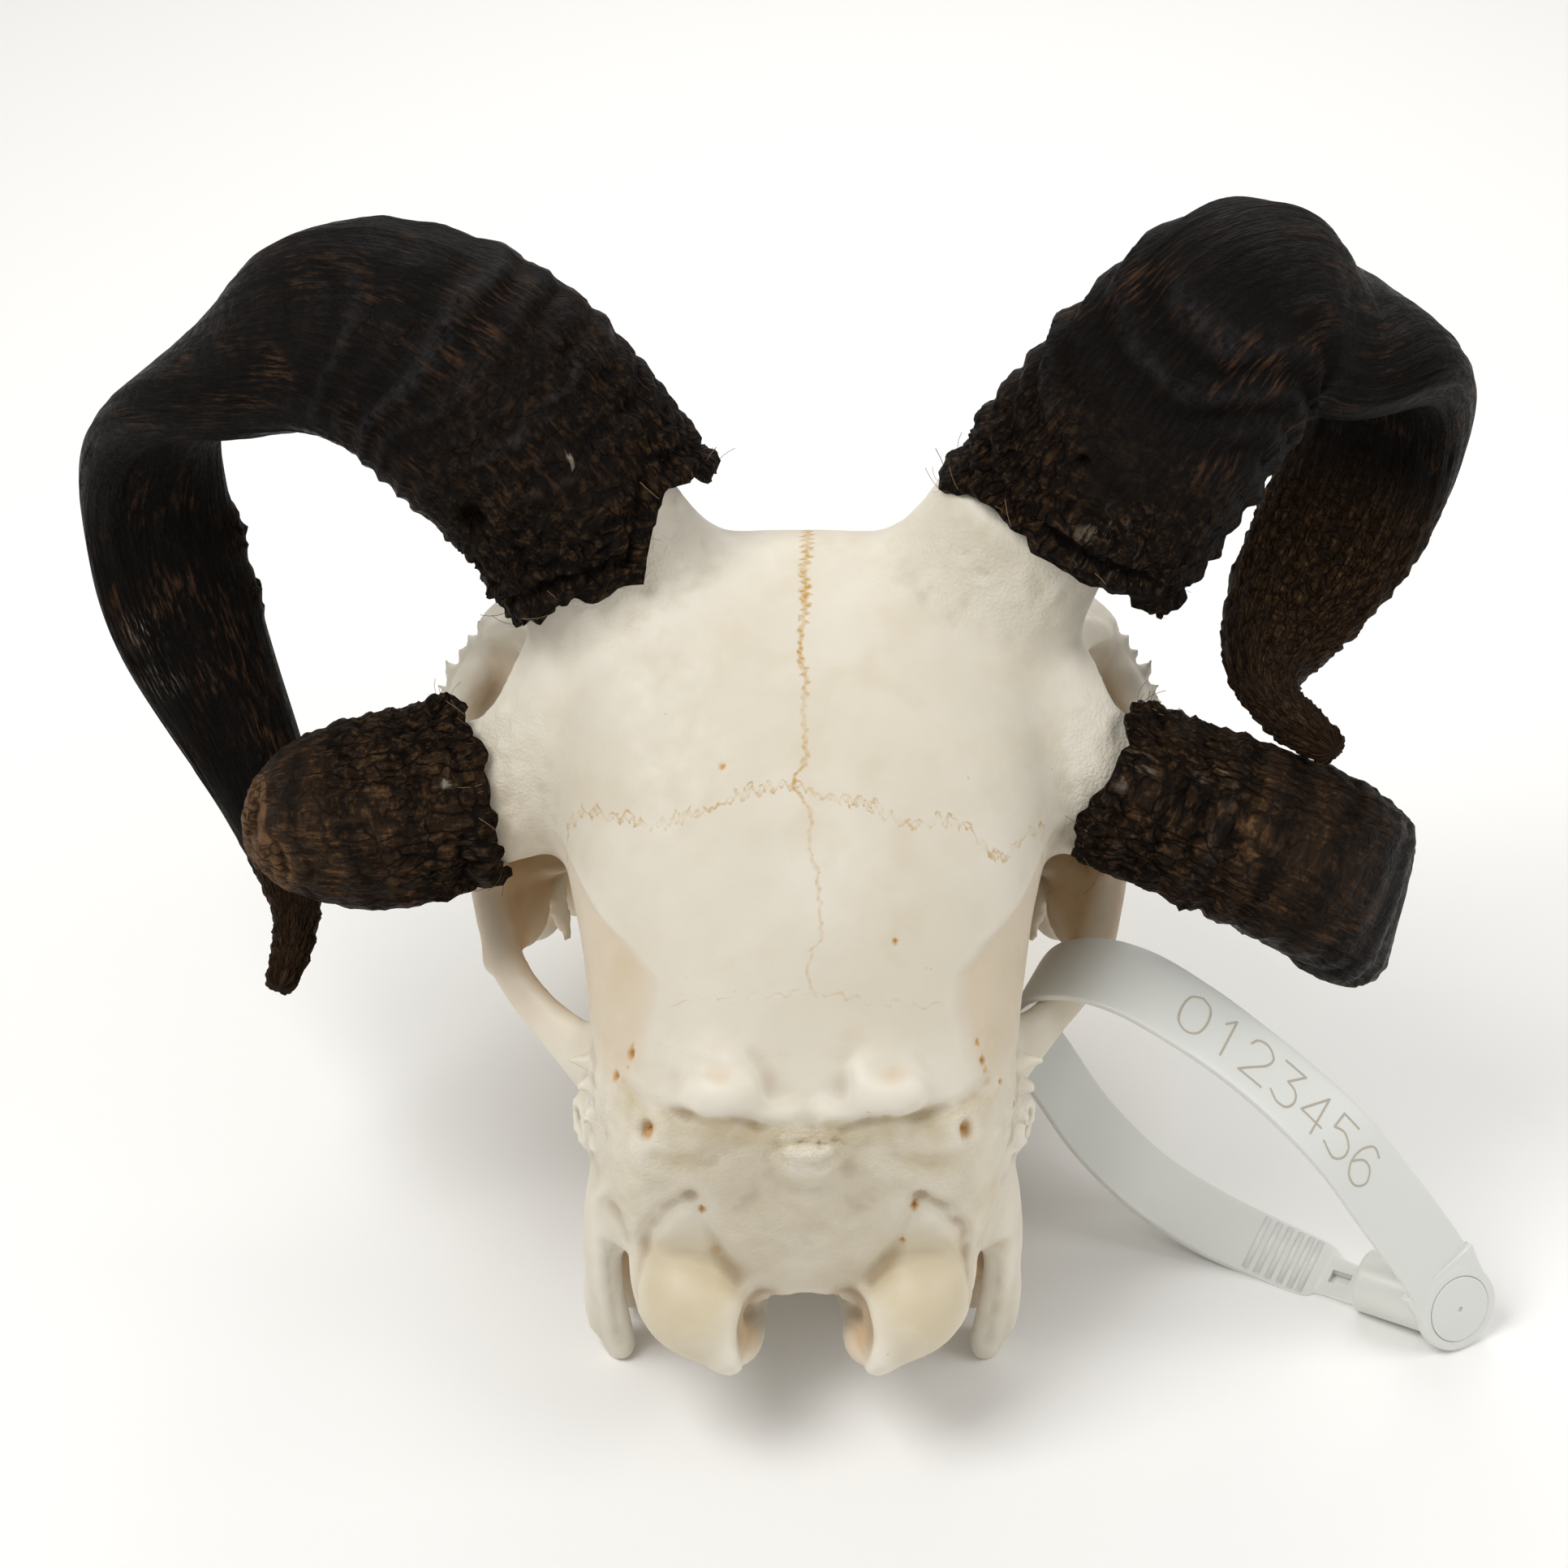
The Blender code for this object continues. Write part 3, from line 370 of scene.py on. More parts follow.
def incisives():
    """The two toothless bones at the front of the upper jaw."""
    body = [(15, 138, 24, 9, 8), (14.5, 150, 23.5, 8.5, 7), (13.5, 164, 21.5, 8, 6), (11.5, 178, 20, 8, 5.5),
            (9, 190, 19.5, 9.5, 5), (6, 196, 19.8, 8, 4.5)]
    wing = [(13.5, 138, 42, 22, 5, -0.3, 0.2, 1), (14, 150, 38, 18, 4.5, -0.25, 0.4, 1),
            (13.5, 164, 31, 13, 4.0, -0.2, 0.5, 1), (12, 178, 24, 8, 4.0, -0.2, 0.5, 1)]
    tongue = [(3.6, 138, 22, 5, 5), (3.6, 166, 19, 4.6, 3.8), (5.2, 192, 19.4, 6, 4)]
    pieces = []
    for side in SIDES:
        flat_body, flat_tongue = ([(side * x, *rest, 1, 0, 0) for x, *rest in rows] for rows in (body, tongue))
        turned_wing = [(side * row[0], *row[1:5], side * row[5], *row[6:]) for row in wing]
        pieces += [sweep("incisive", rows, caps=(1, 1)) for rows in (flat_body, turned_wing, flat_tongue)]
    return pieces


def bone_hollows():
    """Cutters for the orbits, the foramen magnum, the nasal cavity, the throat, the palate and the ear holes."""
    tunnels = [
        [(-20, 11, 8, 12), (-10, 19.5, 11.5, 15), (2, 31, 17, 17), (12, 42, 16, 14)],
        [(176, 38, 19, 20), (158, 39, 18, 25), (140, 43, 17, 28), (122, 48, 16, 28), (108, 51, 13, 18)],
        [(48, 20, 17, 28), (68, 24, 17, 20), (84, 30, 14, 14)],
    ]
    return [
        *(sweep("tunnel", [(0, *row, 1, 0, 0) for row in rows], caps=(1, 1)) for rows in tunnels),
        egg("palate", [(0, 108, 9, 15.5, 44, 9.5)], (3, 0, 0)),
    ] + paired(
        (egg, "orbit", [(56, 64.5, 79.5, 28, 16, 16.6)]),
        (egg, "orbit_depth", [(38, 58, 75, 17, 11.5, 12)]),
        (rod, "temporal", [(38, 56, 73, 9), (42.6, 42, 68, 7.4), (42.6, 30, 67, 6.4)]),
        (rod, "ear_hole", [(29, 10, 43, 2.4), (42, 4, 45, 2.6)]),
        (egg, "condyle_hollow", [(6.4, -19.5, 25, 4.2, 8, 6)]),
        (egg, "nuchal_hollow", [(9, -20, 47, 8, 5, 9)]),
    )


def facing(normal):
    """The turn that points a shape's Z along a direction."""
    return Vector(normal).normalized().to_track_quat("Z", "Y").to_matrix().to_4x4()


def halfspace(name, point, normal):
    """A big box that fills everything on the normal's side of a plane."""
    bm = bmesh.new()
    bmesh.ops.create_cube(bm, size=2)
    turn = facing(normal)
    matrix = Matrix.Translation(Vector(point) * MM) @ turn @ Matrix.Translation((0, 0, 0.3)) @ Matrix.Scale(0.3, 4)
    bmesh.ops.transform(bm, matrix=matrix, verts=bm.verts)
    return put(name, bm)


def keep_largest(obj):
    """Leaves only the closed surface with the most volume, since a cut can free small splinters."""
    bm = bmesh.new()
    bm.from_mesh(obj.data)
    bmesh.ops.triangulate(bm, faces=bm.faces)
    seen = set()
    best = (0, [])
    for start in bm.faces:
        if start in seen:
            continue
        seen.add(start)
        island = [start]
        for face in island:
            for edge in face.edges:
                for other in edge.link_faces:
                    if other not in seen:
                        seen.add(other)
                        island.append(other)
        volume = sum(f.verts[0].co.dot(f.verts[1].co.cross(f.verts[2].co)) for f in island)
        best = max(best, (volume, island), key=lambda pair: pair[0])
    spare = seen.difference(best[1])
    bmesh.ops.delete(bm, geom=list(spare), context="FACES")
    bm.to_mesh(obj.data)
    bm.free()


def knobs_and_ridges():
    """Small forms of the roof, the nape, the orbit and the arch that the nodes leave out."""
    return [egg("nape_knob", [(1.0, -17.0, 58.4, 3.8, 1.7, 2.6)])] + paired(
        (rod, "knob_ridge", [
            (19.5, -9.0, 70.6, 0.3), (17.1, -9.9, 71.8, 0.6), (13.4, -10.4, 72.9, 0.75),
            (10.2, -11.6, 71.9, 0.85), (8.0, -14.2, 69.6, 0.9), (7.4, -15.8, 66.0, 0.7)
        ]),
        (rod, "knob_arm", [
            (8.5, -14.8, 66.5, 0.9), (14, -14.0, 66.6, 1.0), (19.5, -12.2, 66.2, 0.9),
            (23.6, -9.6, 65.0, 0.6)
        ]),
        (rod, "nape_line", [
            (23.0, -13.6, 58.8, 1.1), (25.0, -13.2, 55.4, 1.2), (28.6, -9.0, 47.0, 1.2),
            (32.0, -4.2, 38.6, 1.1), (33.4, -1.0, 31.5, 0.8)
        ]),
        (sweep, "orbit_wall", [
            (42.0, 62.0, 99, 11, 2.4, 1, 0.5, 0), (43.5, 64.5, 94, 17, 2.8, 1, 0.6, 0),
            (45.0, 66.2, 87.5, 21, 3.0, 1, 0.6, 0), (46.0, 68.0, 81, 23, 3.2, 1, 0.6, 0),
            (46.0, 69.0, 73, 23, 3.6, 1, 0.6, 0)
        ], {"caps": (0.7, 0.7), "square": 6}),
        (egg, "arch_knob", [(49.6, 38.5, 52.3, 2.5, 4.8, 3.1)]),
        (sweep, "arch_shelf", [
            (50.5, 58, 60, 13, 5.4, 1, 0, 0.35), (48.0, 50, 59.4, 14, 5, 1, 0, 0.35),
            (46.2, 43, 57.4, 12, 4.6, 1, 0, 0.35), (45.0, 38.5, 55.6, 6, 4, 1, 0, 0.3)
        ], {"caps": (0.7, 0.7)}),
        (sweep, "fossa_blade", [
            (40.2, 56, 61, 7, 2.2, 0.8, -0.5, 0.2), (40.8, 52, 57, 6.4, 1.9, 0.8, -0.5, 0.2),
            (39.6, 49.6, 51.5, 5.2, 1.7, 0.8, -0.5, 0.2), (38.7, 48.4, 47.4, 4.0, 1.6, 0.8, -0.5, 0.2)
        ], {"caps": (0.7, 0.7)}),
        narrower=NARROWER_CHEEK,
    )


def orbital_notches():
    """Cutters for the bite in the edge of the brow plate over each orbit."""
    return paired((egg, "notch", [(50.5, 53, 99.5, 7.8, 13.6, 10)]))


def splinters():
    """Loose-edged flakes of bone over the ear."""
    flakes = [((31.5, 1.5, 61.0), (35.4, 0.8, 62.0)), ((32, 0.5, 57.6), (34.4, -0.6, 57.8)),
              ((31.6, -2, 54.6), (33.4, -3.4, 53.8)), ((31.4, -2.4, 50), (32.4, -4.2, 48.8))]
    return paired(*[(rod, "flake", [(*root, 1.7), (*tip, 0.8)], SPLINTER) for root, tip in flakes])


def rim_teeth():
    """The saw-toothed front edge of each orbit, where the bone was still growing."""
    edge = [(43.5, 62, 98.8), (47, 69.5, 95.4), (52.5, 71, 89.8), (56.5, 71.5, 82.5), (58.2, 73.5, 75)]
    teeth = []
    for i, (x, y, z) in enumerate(smooth_path(edge, 7)):
        reach = 3.0 + 1.0 * math.sin(i * 2.4) + 0.8 * math.sin(i * 5.1)
        root = (x - 1.5, y, z - 0.8)
        tip = (x + reach * 0.72, y + 0.8 * math.sin(i * 3.7), z + reach * 0.66 + 0.5 * math.sin(i * 1.9))
        teeth.append((rod, "rim_tooth", [(*root, 1.15), (*tip, 0.45)], SPLINTER))
    return paired(*teeth, narrower=NARROWER_CHEEK)


def whole_bone():
    """Every bone as one skin, before it is parted along its sutures."""
    mass = braincase()
    boolean(mass, [face()] + brow_plate() + horn_cores() + cheeks() + incisives(), "UNION", "MANIFOLD")
    melt(mass, MASS_VOXEL, 10)
    boolean(mass, occiput() + base_and_palate(), "UNION", "MANIFOLD")
    boolean(mass, bone_hollows(), "DIFFERENCE", "MANIFOLD")
    boolean(mass, orbit_rims(), "UNION", "MANIFOLD")
    boolean(mass, orbital_notches(), "DIFFERENCE", "MANIFOLD")
    boolean(mass, knobs_and_ridges(), "UNION", "MANIFOLD")
    melt(mass, RIM_VOXEL, 5)
    boolean(mass, splinters() + rim_teeth(), "UNION", "MANIFOLD")
    melt(mass, SKIN_VOXEL, 2)
    boolean(mass, [halfspace("floor", (0, 0, 0), (0, 0, -1))], "DIFFERENCE")
    return mass


def grain(points, size, seed=0):
    """Smooth noise between -1 and 1 at points in mm, with lumps of about this size, from hashed grid corners."""
    cells = np.asarray(points) / size + 512.0
    corner = np.floor(cells).astype(np.int64)
    part = cells - corner
    part = part * part * (3 - 2 * part)
    total = np.zeros(len(cells))
    for step in itertools.product((0, 1), repeat=3):
        key = (corner + step) @ np.array([73856093, 19349663, 83492791]) + seed * 7919
        key = ((key ^ (key >> 13)) * 1274126177) & 0x7FFFFFFF
        key = ((key ^ (key >> 15)) * 374761393) & 0x7FFFFFFF
        total += np.prod(np.where(step, part, 1 - part), axis=1) * ((key >> 7 & 0xFFFF) / 32767.5 - 1)
    return total


def unit(values):
    return np.clip(values, 0, 1)


def ease(values):
    fall = unit(values)
    return fall * fall * (3 - 2 * fall)


def near(points, centre, radii):
    """1 at the centre of an ellipsoid of these radii in mm, smoothly down to 0 on its surface and outside."""
    away = np.linalg.norm((points - np.array(centre)) / np.array(radii), axis=1)
    return ease(1 - away)


def points_of(mesh, field="co", unit=MM):
    flat = np.empty(len(mesh.vertices) * 3, np.float32)
    mesh.vertices.foreach_get(field, flat)
    return flat.reshape(-1, 3).astype(float) / unit


def normals_of(mesh):
    return points_of(mesh, "normal", 1)


def move_points(mesh, points):
    mesh.vertices.foreach_set("co", (points * MM).astype(np.float32).ravel())
    mesh.update()


def write_attributes(mesh, **layers):
    for name, values in layers.items():
        kind, field = ("FLOAT", "value") if values.ndim == 1 else ("FLOAT_VECTOR", "vector")
        layer = mesh.attributes.new(name, kind, "POINT")
        layer.data.foreach_set(field, values.astype(np.float32).ravel())


def averaged(mesh, values, rounds):
    """Values per point, each replaced so many times by the mean of its neighbours."""
    ends = np.empty(len(mesh.edges) * 2, np.int64)
    mesh.edges.foreach_get("vertices", ends)
    a, b = ends.reshape(-1, 2).T
    count = np.bincount(a, minlength=len(values)) + np.bincount(b, minlength=len(values))
    for _ in range(rounds):
        total = np.stack([
            np.bincount(a, column[b], len(values)) + np.bincount(b, column[a], len(values)) for column in values.T
        ], axis=1)
        values = total / count[:, None]
    return values


# Where the sutures run: x and y of the coronal one, y and x of the midline ones, x and z of the parietal one.
CORONAL = [(-44, 27), (-35.7, 21.6), (-27.1, 15), (-20.3, 12.2), (-11.1, 13.6), (-2.1, 14.8), (2.4, 13.8),
           (10.5, 12.4), (14.7, 11.3), (23.4, 12.9), (26.5, 12), (30, 13.1), (36, 21.6), (44, 27)]
MIDLINE = [(-5.3, 1.5), (-3.6, 0.3), (-1.4, 0.9), (0, 2.3), (3, 1.8), (5.3, 1.6), (8.5, 0.5), (11.9, 0.9),
           (14.8, -2.1), (16.1, -0.9), (18.5, 0.3), (21.5, -0.1), (27, -0.1), (32.5, -0.6), (37.4, -0.3),
           (53.4, 0.2), (190, 0)]
PARIETAL = [(-19.7, 77.4), (-17.1, 78.7), (-6.3, 79.5), (2.1, 80.1), (9.2, 78.7), (18.8, 77.5)]


def along_path(path, at):
    rows = np.array(smooth_path(path, 6))
    return np.interp(at, rows[:, 0], rows[:, 1])


# The small blood-vessel holes: place, radius and depth in mm.
PITS = [
    ((-26.2, -6.5, 69.3), 0.62, 0.9), ((-28.5, -6.5, 65.0), 0.55, 0.8), ((-25.9, -6.2, 71.2), 0.36, 0.5),
    ((-26.7, -7.2, 67.2), 0.32, 0.5), ((-26.0, -6.4, 72.6), 0.28, 0.3), ((25.7, -5.9, 71.0), 0.40, 0.5),
    ((26.6, -6.9, 68.4), 0.48, 0.7), ((27.0, -7.4, 66.9), 0.32, 0.5), ((29.4, -6.0, 63.6), 0.34, 0.5),
    ((31.1, -4.0, 57.5), 0.4, 0.5), ((13.2, -0.3, 85.7), 0.4, 0.3), ((-12.3, 17.5, 104.6), 0.4, 0.3),
    ((-23.8, -13.6, 60.5), 1.0, 1.8), ((24.0, -13.6, 60.5), 1.0, 1.8), ((-15.4, -15.6, 46.3), 0.5, 0.7),
    ((-13.6, -15.0, 37.6), 0.4, 0.5), ((16.4, -15.6, 47.0), 0.6, 0.8),
    ((14.6, -15.2, 39.6), 0.4, 0.5), ((-33.5, 60.0, 104.0), 0.8, 0.6),
    ((33.5, 60.0, 104.0), 0.8, 0.6),
]
PIT_RIM = 1.7  # how much wider than its hole the sunk rim of a pit is
PIT_SINK = 1.3
RESTING_BELOW = 0.05
# Grooves and edges of the right half, mirrored on the left: their points, reach to each side and lift in mm.
LINES = [
    ([(17.3, -15.7, 49), (21.0, -15.1, 46.2), (24.0, -14.0, 41.1), (25.6, -13.3, 34.6), (25.9, -15.0, 28)],
     2.6, -0.8),
    ([(17.3, -15.7, 49), (15.2, -15.4, 43.1), (13.0, -15.0, 37.0), (10.4, -15.6, 31.6)], 2.4, -0.35),
    ([(30.2, -5.4, 30), (29.9, -3.4, 18.2), (29.2, -1.6, 5)], 2.8, -0.8),
    ([(27, -7.5, 65.0), (23.1, -11.4, 64.2), (17, -14.9, 64.4), (11.4, -16.2, 64.8), (6.9, -15.8, 63.6),
      (0, -16.4, 64.6)], 2.2, -0.55),
    ([(23, -13.4, 57), (19.5, -15.2, 55.4), (14.5, -16.2, 56.6), (9.5, -17, 60)], 3.0, -0.4),
]
SIDE_EDGE = [(62, 27), (66, 25), (69, 23.6), (72.6, 22.6), (76.8, 21.4), (80.2, 21.6), (82.8, 25.5), (84.6, 31.5),
             (88, 40)]
CREST_EDGE = [(0, 65.2), (7, 65.8), (11, 67.4), (17, 67.6), (23.1, 65.6), (26.2, 66.1), (40, 60)]


def near_path(points, path, width):
    """1 along straight lines between points in mm, smoothly down to 0 at this distance from them."""
    away = np.full(len(points), np.inf)
    for start, end in zip(np.array(path[:-1], float), np.array(path[1:], float)):
        step = end - start
        share = unit((points - start) @ step / (step @ step))
        away = np.minimum(away, np.linalg.norm(points - start - share[:, None] * step, axis=1))
    return ease(1 - away / width)


def give_relief(obj):
    """Moves the skin's points by the grain, pits and rough patches of dry bone, and stores where colours lie."""
    mesh = obj.data
    points = points_of(mesh)
    normals = normals_of(mesh)
    x, y, z = points.T
    folded = np.abs(points) * (1, 0, 0) + points * (0, 1, 1)
    condyles = near(folded, (18, -17, 33), (12, 14, 21))
    crest = np.interp(np.abs(x), *zip(*CREST_EDGE)) + 1.2 * grain(points, 4, 11) + 0.7 * grain(points, 1.6, 13)
    below_crest = crest - z
    nape = unit(below_crest / 2) * unit((-3 - y) / 4) * unit((z - 26) / 16)
    nape *= unit((34 - np.abs(x)) / 8) * unit(1 - 2.4 * condyles)
    # The braincase's sides outside the temporal lines: sunk a little, and darker and tanner in colour as painted
    # shade, since they face away from the light above.
    side = unit((np.abs(x) - np.interp(z, *zip(*SIDE_EDGE))) / 3.5)
    side *= unit((30 - y) / 12) * unit((z - 60) / 8)
    patch = near(points, (1.0, -17, 60.5), (8, 9, 6))
    tugged = near(folded, (31, -4, 56), (9, 9, 12))
    base = near(folded, (31, 50, 121), (27, 24, 17)) + near(folded, (45, 37, 90), (14, 24, 22))
    lift = 0.10 * grain(points, 7, 1) + 0.05 * grain(points, 2.6, 2) - 0.45 * side
    lift += nape * (0.22 * grain(points, 3.6, 3) + 0.12 * grain(points, 1.5, 4))
    lift += patch * (1.5 * np.abs(grain(points * (0.6, 1, 1), 2.0, 5)) + 0.7 * grain(points, 1.1, 6) - 0.4)
    lift += tugged * (0.6 * np.abs(grain(points * (1, 1, 0.5), 2.4, 7)) + 0.3 * grain(points, 1.3, 8))
    lift += unit(base) * (0.34 * grain(points, 2.2, 9) + 0.18 * grain(points, 1.2, 10))
    for path, width, raise_by in LINES:
        lift += raise_by * near_path(folded, path, width) * (y < 0) * (1 + 0.3 * grain(points, 2.5, 12))
    hollow = near(folded, (12.6, -13.0, 70.4), (3.4, 3.2, 2.2))
    lift -= 0.3 * hollow
    pitted = np.zeros(len(points))
    for at, radius, depth in PITS:
        hole = unit(1 - np.linalg.norm((points - np.array(at)) * (1, 1, 0.6), axis=1) / (radius * PIT_RIM))
        lift -= depth * PIT_SINK * hole ** 1.5
        pitted = np.maximum(pitted, hole * min(0.62 / radius, 1))
    moved = points + normals * lift[:, None]
    moved[:, 2] = np.maximum(moved[:, 2], 0)
    resting = points[:, 2] < RESTING_BELOW
    moved[resting] = points[resting]
    move_points(mesh, moved)
    # How sunk or proud each point is, which the material turns into painted shade in the hollows and a pale edge
    # on the ridges.
    dent = ((averaged(mesh, moved, HOLLOW_ROUNDS) - moved) * normals).sum(axis=1)
    # Tan in the orbits, fossae, arch insides, condyle hollows and under the skull: partly old residue, partly
    # painted shade in these hollows.
    warm = near(folded, (43, 44, 56), (20, 32, 27)) + near(folded, (44, 62, 78), (18, 17, 22))
    warm += near(folded, (6.2, -17, 22), (6.5, 9, 10)) + near(folded, (27.5, 8, 18), (5, 12, 22))
    inward = unit(0.3 - 1.4 * normals[:, 0] * np.sign(x))
    warm += 1.3 * inward * near_path(folded, [(51, 50, 57), (48, 38, 52), (42, 26, 48), (36, 18, 46)], 11)
    warm -= 1.0 * near(folded, (39.6, 51, 54), (5, 6, 9))
    warm += near(points, (0, 60, 22), (30, 50, 26)) + near(points, (0, 150, 36), (14, 50, 22)) + 0.5 * hollow
    # Painted shade: darker grey just below the overhanging nuchal crest, carried in the nape's colour along with
    # its own greyer tone.
    shade_below_crest = near_path(folded, [(26, -9, 63.4), (17, -15, 63), (7, -16, 62.8), (0, -16.6, 63)], 5.5)
    shade_below_crest += near(folded, (18.4, -15.6, 56.4), (6, 5, 5))
    write_attributes(
        mesh,
        nape=unit(nape * (0.46 + 0.6 * shade_below_crest) + 0.26 * side),
        rough=unit(nape * 0.6 + patch + tugged + base),
        dent=np.clip(dent / 0.5, -1, 1),
        warm=unit((warm * 1.4 + 0.30 * side) * (1 - nape)),
        yellow=unit(condyles * 1.8) * unit((46 - z) / 14),
        pitted=pitted,
    )
    roof = unit((z - 62) / 8)
    outside = 60.0
    coronal = np.where((z > 72) & (np.abs(x) < 42), (y - along_path(CORONAL, x)) * 1.25, outside)
    midline = np.where((normals[:, 2] > 0.15) & (z > 78), x - along_path(MIDLINE, y), outside)
    parietal = np.where((z > 70) & (np.abs(x) < 21) & (y < 10), (z - along_path(PARIETAL, x)) * 1.2, outside)
    strength = np.interp(y, (-6, 0, 12, 14, 17, 22, 27, 32, 44), (0.3, 0.45, 0.45, 1, 0.9, 0.5, 0.6, 1, 1))
    midline = midline / np.interp(y, (10, 16, 34, 46), (0.7, 1, 1, 1.7))
    write_attributes(
        mesh,
        coronal_suture=np.stack([coronal, x, roof], axis=1),
        midline_suture=np.stack([midline, y, roof * strength], axis=1),
        parietal_suture=np.stack([parietal, x, roof], axis=1),
    )


def bumpy_slab(name, point, normal, depth):
    """A closed slab whose one face follows a plane in small random waves, as the edge of a suture does."""
    bm = bmesh.new()
    bmesh.ops.create_grid(bm, x_segments=SLAB_CELLS, y_segments=SLAB_CELLS, size=SLAB_HALF * MM)
    flat = np.array([v.co[:] for v in bm.verts]) / MM
    waves = 1.1 * grain(flat, 6, 21) + 0.9 * grain(flat, 2.6, 22)
    for vert, wave in zip(bm.verts, waves):
        vert.co.z = wave * MM
    made = bmesh.ops.extrude_face_region(bm, geom=bm.faces[:])
    for item in made["geom"]:
        if isinstance(item, bmesh.types.BMVert):
            item.co.z += depth * MM
    bmesh.ops.recalc_face_normals(bm, faces=bm.faces)
    turn = facing(normal)
    bmesh.ops.transform(bm, matrix=Matrix.Translation(Vector(point) * MM) @ turn, verts=bm.verts)
    return put(name, bm)


def part_at(obj, name, point, normal):
    """Parts obj along a suture near a plane. What lies on the normal's side becomes a new object."""
    front = link_object(name, obj.data.copy())
    for piece, depth in ((front, -SLAB_DEPTH), (obj, SLAB_DEPTH)):
        boolean(piece, [bumpy_slab("cut", point, normal, depth)], "DIFFERENCE", "MANIFOLD")
    keep_largest(obj)
    keep_largest(front)
    return front


def at_most(obj, triangles):
    count = sum(len(face.vertices) - 2 for face in obj.data.polygons)
    if count > triangles:
        modifier = obj.modifiers.new("Decimate", "DECIMATE")
        modifier.ratio = triangles / count
        apply_modifiers(obj)


def linear(hex_colour):
    """An sRGB hex colour as linear red, green, blue and alpha."""
    channels = [int(hex_colour[i : i + 2], 16) / 255 for i in (1, 3, 5)]
    return (*[c / 12.92 if c <= 0.04045 else ((c + 0.055) / 1.055) ** 2.4 for c in channels], 1)


def add(tree, kind, inputs=(), out=0, **settings):
    """Adds a node with its settings and returns one of its outputs. Inputs are values or sockets, in order or by
    name or number."""
    node = tree.nodes.new(kind)
    for name, value in settings.items():
        setattr(node, name, value)
    for key, value in inputs.items() if isinstance(inputs, dict) else enumerate(inputs):
        if isinstance(value, bpy.types.NodeSocket):
            tree.links.new(value, node.inputs[key])
        else:
            node.inputs[key].default_value = value
    return node.outputs[out] if node.outputs else node


def new_material(name, values):
    """A material, its node tree and its shader, with these values on the shader's sockets."""
    material = bpy.data.materials.new(name)
    material.use_nodes = True
    shader = material.node_tree.nodes["Principled BSDF"]
    for socket, value in values.items():
        shader.inputs[socket].default_value = value
    return material, material.node_tree, shader


# Short names for the nodes that every material here is made of, and for what a Math node does.
MATH = "ShaderNodeMath"
MIX = "ShaderNodeMix"
RAMP = "ShaderNodeMapRange"
NOISE = "ShaderNodeTexNoise"
TIMES = {"operation": "MULTIPLY"}
TIMES_PLUS = {"operation": "MULTIPLY_ADD"}
MOST = {"operation": "MAXIMUM"}


def stain_of_suture(tree, name, loop, period, width, gaps, place):
    """How much of a suture's stain lies here. It runs in loops of this size to each side, one each period, in mm,
    and gaps is what is left of it where it fades."""
    across = add(tree, "ShaderNodeSeparateXYZ",
                 (add(tree, "ShaderNodeAttribute", out="Vector", attribute_name=name),)).node.outputs
    sway = add(tree, NOISE, {"Vector": place, "Scale": 1 / 5.0, "Detail": 1.0})
    jitter = add(tree, NOISE, {"Vector": place, "Scale": 1 / 1.6, "Detail": 2.0})
    start = add(tree, MATH, (jitter, 9.0), **TIMES)
    turns = add(tree, MATH, (across[1], 2 * math.pi / period, start), **TIMES_PLUS)
    wave = add(tree, MATH, (turns,), operation="SINE")
    reach = add(tree, RAMP, (sway, 0.3, 0.7, 0.35 * loop, 1.25 * loop))
    drift = add(tree, MATH, (sway, 2.0, -1.0), **TIMES_PLUS)
    centre = add(tree, MATH, (wave, reach, drift), **TIMES_PLUS)
    aside = add(tree, MATH, (across[0], centre), operation="SUBTRACT")
    away = add(tree, MATH, (aside,), operation="ABSOLUTE")
    line = add(tree, RAMP, (away, width, width * 0.25), interpolation_type="SMOOTHSTEP")
    steep = add(tree, MATH, (wave,), operation="ABSOLUTE")
    turning = add(tree, RAMP, (steep, 0.5, 1.0, 0.55, 1))
    line = add(tree, MATH, (line, turning), **TIMES)
    patches = add(tree, NOISE, {"Vector": place, "Scale": 1 / 3.2, "Detail": 2.0})
    faint = add(tree, RAMP, (patches, 0.36, 0.62, gaps, 1.0))
    strength = add(tree, MATH, (line, faint), **TIMES)
    return add(tree, MATH, (strength, across[2]), **TIMES)


# Cleaned, degreased bone: matt and warm ivory, greyer and rough where the neck's muscles held, with painted shade
# below the nuchal crest and on the braincase's sides, and tan in the hollows, partly from old residue and partly
# as painted shade. Creases are darker as painted shade, and proud ridges paler as partly rubbed wear and partly
# painted highlight.
# An ochre stain of old fat lies in the sutures and the small blood-vessel holes, which are darker at the bottom as
# painted shade.
bone_material, tree, shader = new_material("dry_ivory_bone", {"IOR": 1.54})
place = add(tree, "ShaderNodeVectorMath", {0: add(tree, "ShaderNodeTexCoord", out="Object"), "Scale": 1 / MM},
            operation="SCALE")
stored = {name: add(tree, "ShaderNodeAttribute", out="Fac", attribute_name=name)
          for name in ("nape", "rough", "dent", "warm", "yellow", "pitted")}
lumps = {name: add(tree, NOISE, {"Vector": place, "Scale": 1 / size, "Detail": detail}) for name, size, detail in (
    ("cloud", 26, 3.0), ("blotch", 9, 3.0), ("dust", 4.5, 4.0), ("speck", 1.1, 1.0), ("wear", 3, 3.0),
    ("pore", 0.55, 2.0), ("grit", 0.9, 3.0))}
dust = add(tree, RAMP, (lumps["dust"], 0.30, 0.68, 0.45, 0.95))
